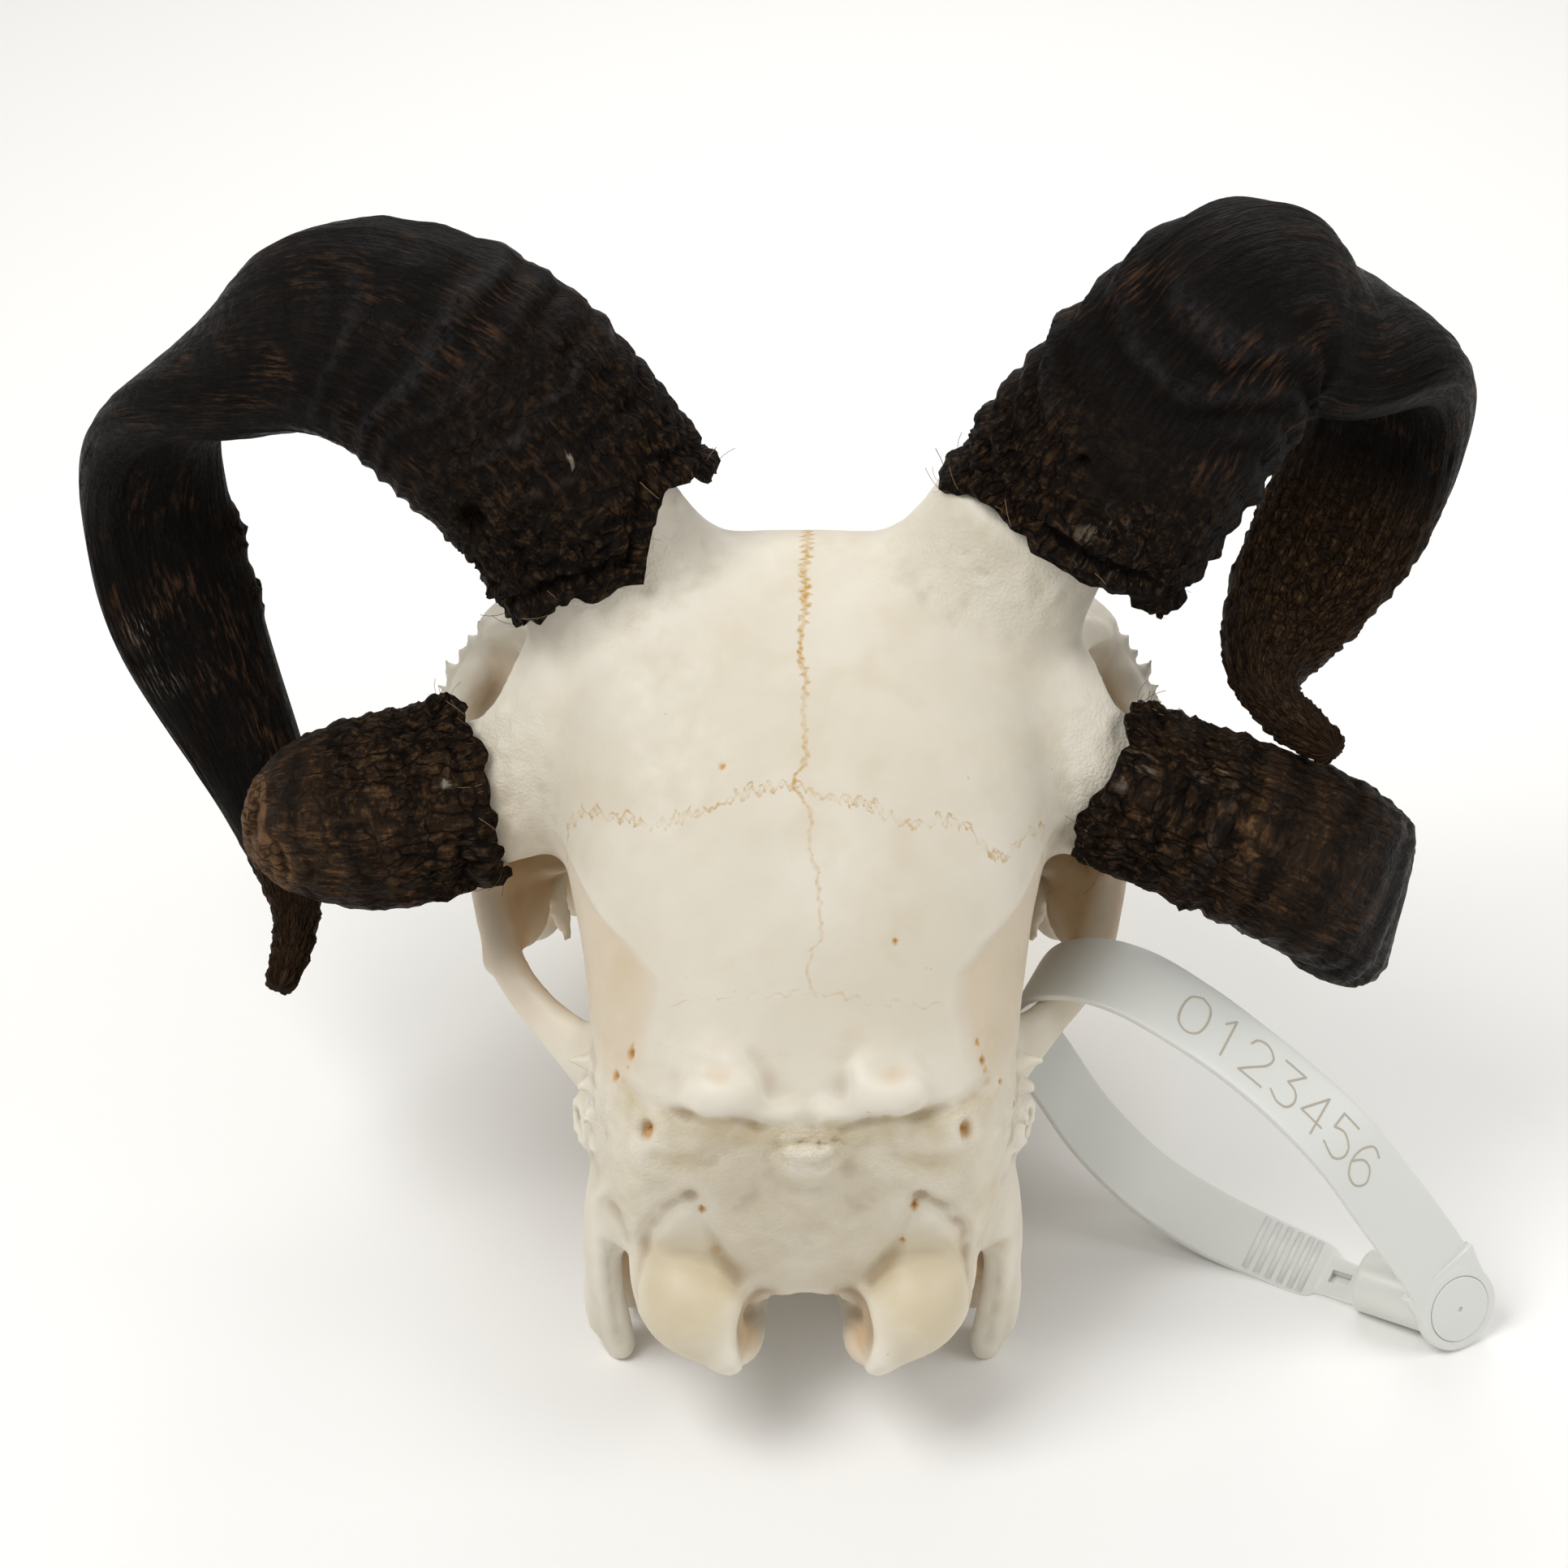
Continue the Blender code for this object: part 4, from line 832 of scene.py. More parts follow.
coronal = add(tree, MATH, (stain_of_suture(tree, "coronal_suture", 1.0, 2.3, 0.34, 0.3, place),
                           stain_of_suture(tree, "coronal_suture", 0.5, 1.2, 0.28, 0.1, place)), **MOST)
midline = stain_of_suture(tree, "midline_suture", 0.30, 1.6, 0.60, 0.6, place)
parietal = stain_of_suture(tree, "parietal_suture", 0.5, 3.0, 0.28, 0.15, place)
stain = add(tree, MATH, (add(tree, MATH, (coronal, 0.72), **TIMES), midline), **MOST)
stain = add(tree, MATH, (add(tree, MATH, (parietal, 0.3), **TIMES), stain), **MOST, use_clamp=True)
coats = (
    (add(tree, RAMP, (lumps["cloud"], 0.38, 0.66)), "#D2C9B6"),
    (add(tree, RAMP, (lumps["blotch"], 0.52, 0.74, 0, 0.45)), "#CABDA3"),
    (add(tree, MATH, (stored["yellow"], 0.8), **TIMES), "#C5B287"),
    # The nape's greyer tone, with painted shade below the crest and on the braincase's sides.
    (add(tree, MATH, (stored["nape"], dust), **TIMES), "#C4B491"),
    # Tan in the hollows: partly old residue, partly painted shade.
    (add(tree, MATH, (stored["warm"], 0.72), **TIMES), "#CDA877"),
    # Painted shade: darker in creases and hollows, by how sunk the surface is.
    (add(tree, RAMP, (stored["dent"], 0.12, 0.9, 0, 0.55)), "#A58A62", "MULTIPLY"),
    # Paler on proud ridges and knobs: partly rubbed wear, partly a painted highlight.
    (add(tree, RAMP, (stored["dent"], -0.15, -0.8, 0, 0.35)), "#F4EEDF"),
    (add(tree, RAMP, (lumps["speck"], 0.80, 0.86, 0, 0.5)), "#B98B4C"),
    (stain, "#B88C2C"),
    # The small holes: an ochre stain of old fat, darker in the middle as painted shade at the bottom of each hole.
    (add(tree, RAMP, (stored["pitted"], 0.15, 0.5, 0, 0.85)), "#C9974F"),
    (add(tree, RAMP, (stored["pitted"], 0.45, 0.85)), "#90622E"),
)
colour = linear("#DDD5C5")
for share, tone, *blend in coats:
    colour = add(tree, MIX, {0: share, 6: colour, 7: linear(tone)}, 2, data_type="RGBA",
                 blend_type=blend[0] if blend else "MIX")
pores = add(tree, RAMP, (lumps["pore"], 0.30, 0.62, 0.0, 0.5))
height = add(tree, MATH, (stored["rough"], pores, add(tree, MATH, (lumps["grit"], 0.14), **TIMES)), **TIMES_PLUS)
height = add(tree, MATH, (stain, -0.35, height), **TIMES_PLUS)
for socket, value in (
    ("Base Color", colour), ("Roughness", add(tree, RAMP, (lumps["wear"], 0.3, 0.7, 0.46, 0.66))),
    ("Normal", add(tree, "ShaderNodeBump", {"Height": height, "Strength": 0.5, "Distance": 0.5 * MM})),
):
    tree.links.new(value, shader.inputs[socket])


def finish_piece(obj, material, nodes=()):
    obj.data.transform(Matrix.Translation(SLIDE * MM))
    obj.data.materials.clear()
    obj.data.materials.append(material)
    obj.data.shade_smooth()
    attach(obj, "root")
    if nodes:
        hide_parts(*nodes)


cranium = whole_bone()
cranium.name = "cranium_bone"
give_relief(cranium)
face_bone = part_at(cranium, "face_bone", (0, 90, 100), (0, 0.937, -0.35))
incisive_bone = part_at(face_bone, "incisive_bone", (0, 150, 18), (0, 0.97, 0.26))
nasal_bones = paired((sweep, "nasal_bone", [
    (6.4, 84, 97.8, 12.2, 4.4, 1, 0, -0.22), (7.6, 96, 91.2, 14.6, 4.6, 1, 0, -0.24),
    (8.2, 112, 82.4, 15.8, 4.4, 1, 0, -0.26), (7.6, 132, 69.2, 14.6, 4.2, 1, 0, -0.3),
    (6.6, 152, 55.6, 12.4, 3.8, 1, 0, -0.35), (5.2, 166, 46.6, 9, 3.4, 1, 0, -0.35),
    (3.6, 173.5, 42, 4.6, 3, 1, 0, -0.35),
], {"square": 2.6, "caps": (0.8, 0.8)}))
for nasal in nasal_bones:
    melt(nasal, NASAL_VOXEL, 3)
    give_relief(nasal)
for piece, node in zip([cranium, face_bone, incisive_bone] + nasal_bones,
                       ("cranium", "face", "incisive_bones", "nasal_left", "nasal_right")):
    at_most(piece, MOST_TRIANGLES)
    finish_piece(piece, bone_material, [node])


# Cheek teeth
# Three premolars and three molars a side: folded enamel over dentine, held in the upper jaw and worn to one level.
# They are the same columns as the ones joined to the face node, with the enamel's upright ridges and dark grooves.

TOOTH_VOXEL = 0.55
TOOTH_ROW_SLOPE = 0.075
TOOTH_ROW_FOOT = 81  # where the row meets the floor
TOOTH_LENGTHS = (16.5, 14.5, 12.5, 9.0, 8.5, 8.0)  # from the last molar to the first premolar
TOOTH_WIDTHS = (11, 11.5, 11, 9.5, 8.5, 7.5)
MOLARS = 3
ROW_START = 73.0
CROWN = 13
HIDDEN_ROOT = 10


def cheek_teeth():
    """Three premolars and three molars a side. The row climbs towards the nose, and the last molar meets the
    floor."""
    teeth = []
    for side in SIDES:
        y = ROW_START
        for i, (length, width) in enumerate(zip(TOOTH_LENGTHS, TOOTH_WIDTHS)):
            middle = y + length / 2
            low = TOOTH_ROW_SLOPE * (middle - TOOTH_ROW_FOOT)
            x = 26.5 - 0.0016 * (middle - 80) ** 2 - 0.02 * (middle - 80)
            for share, offset in ((0.54, -0.25), (0.54, 0.25)) if i < MOLARS else ((1.06, 0),):
                at = middle + offset * length
                teeth.append(sweep("tooth", [
                    (side * x, at, low - 0.8, width, length * share, 1, 0, 0),
                    (side * (x - 0.4), at, low + CROWN + HIDDEN_ROOT, width, length * share, 1, 0, 0),
                ]))
            y += length
    return teeth


def ridged_teeth(side, teeth):
    row = teeth[0]
    row.name = "cheek_teeth_" + side
    boolean(row, teeth[1:], "UNION", "MANIFOLD")
    melt(row, TOOTH_VOXEL, 2)
    points = points_of(row.data)
    upright = points * (1, 1, 0.12)
    lift = 0.30 * grain(upright, 2.2, 31) + 0.14 * grain(upright, 1.0, 32) + 0.05 * grain(points, 1.2, 33)
    moved = points + normals_of(row.data) * lift[:, None]
    moved[:, 2] = np.maximum(moved[:, 2], 0)
    move_points(row.data, moved)
    grinding = points[:, 2] - TOOTH_ROW_SLOPE * (points[:, 1] - TOOTH_ROW_FOOT) < 0.6
    write_attributes(row.data, groove=unit(-lift / 0.4), worn=grinding * 1.0)
    return row


# Enamel, smooth and shiny where it is clean, with old brown tartar in its grooves and dull dentine where it is
# worn.
enamel_material, tree, shader = new_material("stained_tooth_enamel", {"IOR": 1.62})
place = add(tree, "ShaderNodeVectorMath", {0: add(tree, "ShaderNodeTexCoord", out="Object"), "Scale": 1 / MM},
            operation="SCALE")
groove, worn = (add(tree, "ShaderNodeAttribute", out="Fac", attribute_name=name) for name in ("groove", "worn"))
cloudy, dulled = (add(tree, NOISE, {"Vector": place, "Scale": 1 / size, "Detail": detail})
                  for size, detail in ((3.5, 3.0), (2, 2.0)))
coats = (
    (add(tree, RAMP, (cloudy, 0.35, 0.65)), "#CDBB92"),
    (add(tree, RAMP, (groove, 0.15, 0.8, 0, 0.9)), "#5F4427"),
    (add(tree, MATH, (worn, 0.7), **TIMES), "#A98457"),
)
colour = linear("#E9DFC6")
for share, tone in coats:
    colour = add(tree, MIX, {0: share, 6: colour, 7: linear(tone)}, 2, data_type="RGBA")
tree.links.new(colour, shader.inputs["Base Color"])
tree.links.new(add(tree, RAMP, (dulled, 0.3, 0.7, 0.22, 0.42)), shader.inputs["Roughness"])

tooth_columns = cheek_teeth()
half = len(tooth_columns) // 2
for side, columns in (("left", tooth_columns[:half]), ("right", tooth_columns[half:])):
    finish_piece(ridged_teeth(side, columns), enamel_material)


# Horn sheaths
# Four hollow sheaths of keratin, near black, slipped over the bony cores and held by friction and a pin each.
# They grew in yearly rings of wavy ridges along fine fibres. Their lower edges are torn and frayed, and the stumps
# of the lower pair are worn blunt and brown.

SHEATH_STEP = 0.8
SHEATH_COLUMNS = 152
SHEATH_WALL = 1.5
INNER_RINGS = (7.0, 4.0, 1.5, 0.3)  # how far in from the torn edge the rings of the inner wall lie
SHEATH_SMOOTHING = 44  # rounds of averaging along the horn
SHEATH_CAP = (18, 36, 54, 70, 82)  # degrees from the side to the tip, where the blunt end has its rings
HORN_SQUARENESS = 2.5
LOWER_RIGHT_SQUARENESS = 3.2
# Each station of a horn: centre x, y, z, width and thickness of its section, and the width's direction.
UPPER_LEFT_HORN = [
    (-28.6, 52.4, 121.0, 39.5, 25, 0.82, 0.33, 0.46), (-37.4, 51.6, 137.0, 39.5, 25, 0.79, 0.36, 0.50),
    (-47.4, 53.2, 147.8, 40.0, 24, 0.61, 0.46, 0.65), (-60.0, 56.9, 154.6, 37.0, 22, 0.41, 0.57, 0.71),
    (-73.4, 61.3, 153.9, 32.5, 20, 0.00, 0.80, 0.60), (-85.2, 64.8, 147.5, 29.0, 16, 0.10, 0.95, 0.30),
    (-96.0, 71.3, 138.4, 27.5, 12.5, 0.30, 0.92, -0.23), (-103.6, 77.9, 125.6, 24.5, 11, 0.67, 0.70, -0.25),
    (-104.6, 80.2, 109.9, 24.0, 11, 0.95, 0.27, -0.13), (-101.2, 76.0, 94.2, 24.5, 12, 0.93, 0.34, 0.13),
    (-95.6, 70.4, 81.4, 20.5, 11, 0.90, 0.37, 0.25), (-88.6, 62.4, 68.6, 15.5, 10, 0.91, 0.25, 0.34),
    (-84.4, 54.6, 59.4, 11.0, 9, 0.95, 0.18, 0.24), (-82.2, 46.0, 54.6, 7.2, 7, 1.00, 0.03, 0.04),
    (-82.5, 38.5, 52.6, 6.0, 6, 0.99, -0.09, -0.12), (-83.7, 32.6, 51.6, 4.4, 4.4, 0.96, -0.17, -0.23),
]
UPPER_RIGHT_HORN = [
    (39.0, 52.0, 123.2, 40.5, 26, -0.92, 0.25, 0.31), (48.7, 51.2, 139.8, 40.5, 26, -0.87, 0.29, 0.41),
    (59.2, 54.1, 154.2, 37.5, 25, -0.80, 0.35, 0.49), (69.2, 58.3, 160.6, 35.6, 21, -0.51, 0.54, 0.67),
    (79.6, 62.7, 153.0, 31.0, 16, 0.10, 0.96, 0.27), (89.8, 70.1, 147.6, 28.0, 14.5, -0.25, 0.95, -0.19),
    (93.2, 75.7, 136.3, 26.5, 12, -0.60, 0.74, -0.29), (90.6, 76.9, 122.4, 26.5, 12, -0.88, 0.47, 0.04),
    (85.2, 74.4, 110.0, 26.5, 13, -0.87, 0.37, 0.34), (77.0, 66.0, 100.5, 20.5, 11, -0.87, 0.29, 0.40),
    (72.4, 55.0, 97.2, 13.5, 9, -0.95, 0.18, 0.26), (73.4, 43.3, 97.9, 8.2, 7, -0.80, -0.35, -0.49),
    (76.4, 34.2, 99.9, 7.2, 6.2, -0.80, -0.35, -0.49), (79.2, 28.4, 100.6, 5.4, 4.6, -0.80, -0.35, -0.49),
]
LOWER_LEFT_HORN = [
    (-49.0, 36.8, 87.3, 28.0, 19, -0.24, 0.57, 0.79), (-59.1, 32.3, 87.0, 31.0, 20, 0.00, 0.58, 0.81),
    (-69.2, 31.8, 85.4, 30.0, 19, 0.00, 0.58, 0.81), (-78.0, 34.5, 82.6, 24.6, 17, 0.10, 0.58, 0.81),
    (-83.2, 39.0, 79.4, 17.4, 12, 0.10, 0.66, 0.75), (-85.6, 42.6, 77.6, 9.6, 7, 0.10, 0.66, 0.75),
]
LOWER_RIGHT_HORN = [
    (46.5, 37.3, 88.2, 27.0, 19, 0.42, 0.53, 0.74), (57.4, 31.2, 87.4, 27.0, 20, 0.37, 0.54, 0.75),
    (71.0, 27.5, 83.4, 28.5, 20, 0.37, 0.54, 0.75), (82.4, 29.0, 75.9, 29.0, 18, 0.37, 0.58, 0.72),
    (88.8, 36.9, 64.4, 27.6, 13.6, 0.25, 0.64, 0.72), (90.2, 50.8, 54.6, 21.4, 11.4, 0.10, 0.66, 0.74),
    (88.1, 63.4, 46.7, 15.0, 10, 0.00, 0.58, 0.81), (83.4, 70.9, 42.1, 7.0, 6, 0.00, 0.58, 0.81),
]


class Sheath:
    """The smooth outer surface of a horn, by the distance in mm along its middle and the angle round it."""

    def __init__(self, stations, square):
        rows = np.array(smooth_path(stations, 24))
        self.middle = rows[:, :3]
        steps = np.linalg.norm(np.diff(self.middle, axis=0), axis=1)
        self.run = np.concatenate([[0], np.cumsum(steps)])
        along = np.gradient(self.middle, self.run, axis=0)
        self.along = along / np.linalg.norm(along, axis=1)[:, None]
        wide = rows[:, 5:8] - self.along * (rows[:, 5:8] * self.along).sum(axis=1)[:, None]
        self.wide = wide / np.linalg.norm(wide, axis=1)[:, None]
        self.thick = np.cross(self.along, self.wide)
        self.half = rows[:, 3:5] / 2
        self.square = square
        self.length = self.run[-1]
        self.radius = self.half[: len(rows) // 3].mean()

    def table(self, values, run):
        """Rows of values at distances along the horn."""
        return np.stack([np.interp(run, self.run, column) for column in values.T], axis=-1)

    def points(self, run, angle, swell=0.0):
        """Points and outward directions on the surface grown by swell mm. Before its start it goes straight."""
        middle = self.table(self.middle, run) + self.along[0] * np.minimum(run, 0)[..., None]
        wide, thick, half = (self.table(values, run) for values in (self.wide, self.thick, self.half))
        c, s = np.cos(angle), np.sin(angle)
        across = np.sign(c) * np.abs(c) ** (2 / self.square) * (half[..., 0] + swell)
        deep = np.sign(s) * np.abs(s) ** (2 / self.square) * (half[..., 1] + swell)
        out = wide * (c / half[..., 0])[..., None] + thick * (s / half[..., 1])[..., None]
        out /= np.linalg.norm(out, axis=-1)[..., None]
        return middle + wide * across[..., None] + thick * deep[..., None], out


def growth_rings(flat, ring, seed):
    """The height of the yearly ridges with the small ones between them, and where the yearly crests lie."""
    gap, ring_height, wavy, ringed = ring
    along = flat[:, 2]
    bend = wavy * grain(flat * (1, 1, 0.35), 13, seed + 2) + 0.9 * grain(flat * (1, 1, 0.4), 4.5, seed + 3)
    phase = (along + bend) / (gap * (0.8 + 0.3 * unit(along / ringed)))
    ridge = 1 - np.abs(2 * (phase % 1) - 1) ** 1.15
    ridge *= 0.75 + 0.25 * np.sin(2.4 * np.floor(phase) + seed)
    strength = unit(2.2 - 2 * along / ringed) * np.clip(0.7 + 0.8 * grain(flat, 12, seed + 4), 0.1, 1)
    lift = ring_height * (ridge - 0.4) * strength
    small = 1 - np.abs(2 * ((along + 0.6 * bend + 0.8 * grain(flat, 2.5, seed + 12)) / 2.4 % 1) - 1)
    shown = unit(0.5 + grain(flat, 9, seed + 13))
    lift += 0.22 * (small - 0.5) * shown * unit(1.6 - along / ringed)
    return lift, ridge * strength


def closed_shell(name, rings, ends):
    """A piece skinned over rings of points in mm, and closed by a fan round a point at each end."""
    corners = np.concatenate([rings.reshape(-1, 3), ends])
    grid = np.arange(rings.shape[0] * rings.shape[1]).reshape(rings.shape[:2])
    beside = np.roll(grid, -1, axis=1)
    faces = np.stack([grid[:-1], beside[:-1], beside[1:], grid[1:]], axis=-1).reshape(-1, 4).tolist()
    for middle, row in ((len(corners) - 2, grid[0]), (len(corners) - 1, grid[-1])):
        faces += [(middle, a, b) for a, b in zip(row.tolist(), np.roll(row, -1).tolist())]
    bm = bmesh.new()
    mesh = bpy.data.meshes.new(name)
    mesh.from_pydata((corners * MM).tolist(), [], faces)
    bm.from_mesh(mesh)
    bmesh.ops.recalc_face_normals(bm, faces=bm.faces)
    bm.to_mesh(mesh)
    bm.free()
    return link_object(name, mesh)


def grow_sheath(name, stations, square, edge, ring, rough, brown, seed, marks=(), tip=0.7):
    """One sheath. edge gives degrees round the horn and how far along the torn lower edge lies there. ring holds
    the gap between the growth rings, their height, the waves in them and the length that they cover. rough is the
    length of the scaly base, and brown the share of the length where it turns brown. Marks are places, sizes,
    depths and what shows there."""
    form = Sheath(stations, square)
    angles = np.arange(SHEATH_COLUMNS) / SHEATH_COLUMNS * 2 * math.pi
    girth = np.stack([np.cos(angles), np.sin(angles), angles * 0], axis=1) * form.radius
    degrees, reach = zip(*edge)
    torn = np.interp(np.degrees(angles), degrees, reach, period=360)
    torn = torn + 0.9 * grain(girth, 4.5, seed) + 1.0 * grain(girth, 1.6, seed + 1)
    rows = int(form.length / SHEATH_STEP)
    share = np.linspace(0, 1, rows)[:, None]
    run = torn + (form.length - torn) * share
    angle = np.broadcast_to(angles, run.shape)
    points, out = form.points(run, angle)
    for _ in range(SHEATH_SMOOTHING):
        points[1:-1] = (points[:-2] + 2 * points[1:-1] + points[2:]) / 4
    place = np.stack([*(np.broadcast_to(girth[:, axis], run.shape) for axis in (0, 1)), run], axis=-1)
    flat = place.reshape(-1, 3)
    along = flat[:, 2]
    from_edge = (run - torn).ravel()
    lift, crest = growth_rings(flat, ring, seed)
    fibre = flat * (1, 1, 0.05)
    lift += 0.20 * grain(fibre, 2.2, seed + 5) + 0.12 * grain(fibre, 1.0, seed + 6)
    split = unit(1 - np.abs(grain(flat * (1, 1, 0.10), 2.2, seed + 14)) / 0.13)
    lift -= 0.40 * split * unit(0.2 + grain(flat, 7, seed + 15))
    scaly = unit(1.3 - (along - 2) / rough) * unit(0.8 + 0.7 * grain(flat, 9, seed + 7))
    pale, tan = np.zeros(len(flat)), unit((share - brown) / 0.12) * np.ones(run.shape)
    tan = tan.ravel() * 0.8
    scaly = np.maximum(scaly, 0.8 * tan)
    for at, size, depth, kind in marks:
        mark = near(points.reshape(-1, 3), at, (size,) * 3)
        lift -= depth * mark
        pale += mark * (kind == "dust") + 4 * mark * (kind == "pin")
        tan += mark * 1.8 * (kind == "tan")
        banded = 0.5 + 0.5 * np.sin(along / 1.15 + 1.6 * grain(flat, 8, seed + 23))
        tan = np.maximum(tan, mark * (0.12 + 0.68 * banded) * (kind == "dry"))
        scaly = np.maximum(scaly, mark * (kind in ("tan", "scaly")))
    warped = flat + np.stack([1.4 * grain(flat, 3.4, seed + 16 + axis) for axis in range(3)], axis=1)
    lift += scaly * (1.0 * np.abs(grain(warped * (0.7, 0.7, 1.2), 2.2, seed + 8)) - 0.35)
    lift += scaly * (0.40 * grain(warped, 1.2, seed + 9))
    ledge = (along + 2.4 * grain(flat, 7, seed + 20) + 0.8 * grain(flat, 2.2, seed + 21)) / 3.8 % 1
    lift += 0.8 * scaly * (0.5 - ledge)
    lift += 0.5 * grain(flat, 17, seed + 10)
    rolled = np.clip(0.65 + 0.9 * grain(flat * (1, 1, 0.2), 10, seed + 22), 0.1, 1.2)
    cuff, furrow = (np.exp(-((from_edge - at) / width) ** 2) for at, width in ((1.8, 1.4), (4.4, 0.8)))
    lift += rolled * (0.9 * cuff - 1.1 * furrow)
    surface = points + out * lift.reshape(run.shape)[..., None]
    end = surface[-1].mean(axis=0)
    bulge = form.half[-1].min() * tip
    cap = [end + (surface[-1] - end) * math.cos(turn) + form.along[-1] * bulge * math.sin(turn)
           for turn in np.radians(SHEATH_CAP)]
    lip, _ = form.points(torn[None, :] - 0.3, angles[None, :], -SHEATH_WALL / 2)
    inside = torn[None, :] + np.array(INNER_RINGS)[:, None]
    inner, _ = form.points(inside, np.broadcast_to(angles, inside.shape), -SHEATH_WALL)
    rings = np.concatenate([inner, lip, surface, np.array(cap)])
    lead = len(inner) + 1
    tail = len(cap)
    count = SHEATH_COLUMNS
    ends = np.array([inner[0].mean(axis=0), end + form.along[-1] * bulge])
    sheath = closed_shell(name, rings, ends)

    def all_round(values):
        """Values of the outer surface carried on to the inner wall, the cap and the two middle points."""
        values = values.reshape(rows, count, -1)
        whole = np.concatenate([np.repeat(values[:1], lead, axis=0), values, np.repeat(values[-1:], tail, axis=0)])
        whole = np.concatenate([whole.reshape(len(rings) * count, -1), values[0, :1], values[-1, :1]])
        return whole[:, 0] if whole.shape[1] == 1 else whole
    layers = {
        "fibre_place": place, "crest": crest, "scaly": scaly, "pale": np.clip(pale, 0, 3),
        "worn_end": unit(tan), "dent": np.clip(-lift / 1.2, -1, 1) * (pale < 1),
    }
    write_attributes(sheath.data, **{layer: all_round(values) for layer, values in layers.items()})
    return sheath, surface[0]


# Keratin: near black, with a painted grey highlight along the crests of its growth rings and painted shade in its
# grooves, dull and dusty brown where it is scaly, with fibres that run the length of the horn. Old horn reflects
# less than its IOR says, because its skin is full of splits.
horn_material, tree, shader = new_material("black_horn_keratin", {"IOR": 1.54, "Specular IOR Level": 0.05})
stored = {name: add(tree, "ShaderNodeAttribute", out="Fac", attribute_name=name)
          for name in ("crest", "scaly", "pale", "worn_end", "dent")}
around = add(tree, "ShaderNodeAttribute", out="Vector", attribute_name="fibre_place")
drawn = add(tree, "ShaderNodeVectorMath", (around, (1, 1, 0.15)), **TIMES)
threads, patchy, scales = (
    add(tree, NOISE, {"Vector": vector, "Scale": 1 / size, "Detail": detail, "Roughness": roughness})
    for vector, size, detail, roughness in (
        (drawn, 0.6, 4.0, 0.65), (around, 12, 5.0, 0.65), (around, 1.3, 6.0, 0.72)))
thread = add(tree, RAMP, (threads, 0.50, 0.64))
flaky = add(tree, MATH, (add(tree, RAMP, (scales, 0.50, 0.64)), add(tree, MATH, (stored["scaly"], 0.9), **TIMES)),
            **TIMES)
# Painted highlight: a grey sheen along the crests of the growth rings, broken up by the scales.
crest_highlight = add(tree, MATH, (add(tree, RAMP, (stored["crest"], 0.40, 0.85, 0, 0.5)),
                          add(tree, RAMP, (scales, 0.40, 0.60))), **TIMES)
dry = add(tree, MATH, (add(tree, RAMP, (scales, 0.46, 0.60, 0.1, 0.9)), thread, 0.16), **TIMES_PLUS)
dry = add(tree, MATH, (dry, add(tree, RAMP, (stored["worn_end"], 0.82, 1.0, 0, 0.8))), **MOST)
scratches = add(tree, RAMP, (threads, 0.54, 0.66, 0, 0.9))
dusted = add(tree, MATH, (add(tree, MATH, (stored["pale"], scratches), **TIMES),
                          add(tree, RAMP, (stored["pale"], 1.2, 2.0))), **MOST, use_clamp=True)
shaken = add(tree, NOISE, {"Vector": around, "Scale": 1 / 2.4, "Detail": 2.0}, 1)
bark = add(tree, "ShaderNodeVectorMath", (around, (0.9, 0.9, 0.45)), **TIMES)
bark = add(tree, "ShaderNodeVectorMath", (shaken, (2.2, 2.2, 2.2), bark), **TIMES_PLUS)
crazed = add(tree, "ShaderNodeTexVoronoi", {"Vector": bark, "Scale": 1 / 1.5}, feature="DISTANCE_TO_EDGE")
crack = add(tree, MATH, (add(tree, RAMP, (crazed, 0.0, 0.14, 1, 0)),
                         add(tree, MATH, (stored["scaly"], 0.8, 0.12), **TIMES_PLUS)), **TIMES)
coats = (
    (add(tree, RAMP, (threads, 0.48, 0.72)), "#1A130E"),
    (add(tree, MATH, (add(tree, RAMP, (patchy, 0.50, 0.64)), thread), **TIMES), "#46301F"),
    (add(tree, MATH, (stored["scaly"], 0.4), **TIMES), "#271C13"),
    (flaky, "#56402B"),
    (crest_highlight, "#343334"),
    (add(tree, MATH, (stored["worn_end"], dry), **TIMES, use_clamp=True), "#7A5A3C"),
    (dusted, "#8C8275"),
    (crack, "#090706"),
    # Painted shade in the sunk grooves, splits and marks.
    (add(tree, RAMP, (stored["dent"], 0.25, 0.9, 0, 0.8)), "#080605"),
)
colour = linear("#0D0A08")
for share, tone in coats:
    colour = add(tree, MIX, {0: share, 6: colour, 7: linear(tone)}, 2, data_type="RGBA")
dull = add(tree, RAMP, (scales, 0.38, 0.62, 0.28, 0.56))
rugged = add(tree, MATH, (stored["scaly"], 1.4, 0.35), **TIMES_PLUS)
height = add(tree, MATH, (scales, rugged, threads), **TIMES_PLUS)
height = add(tree, MATH, (crack, -1.0, height), **TIMES_PLUS)
for socket, value in (
    ("Base Color", colour), ("Roughness", add(tree, MATH, (stored["scaly"], 0.14, dull), **TIMES_PLUS)),
    ("Normal", add(tree, "ShaderNodeBump", {"Height": height, "Strength": 0.9, "Distance": 0.8 * MM})),
):
    tree.links.new(value, shader.inputs[socket])

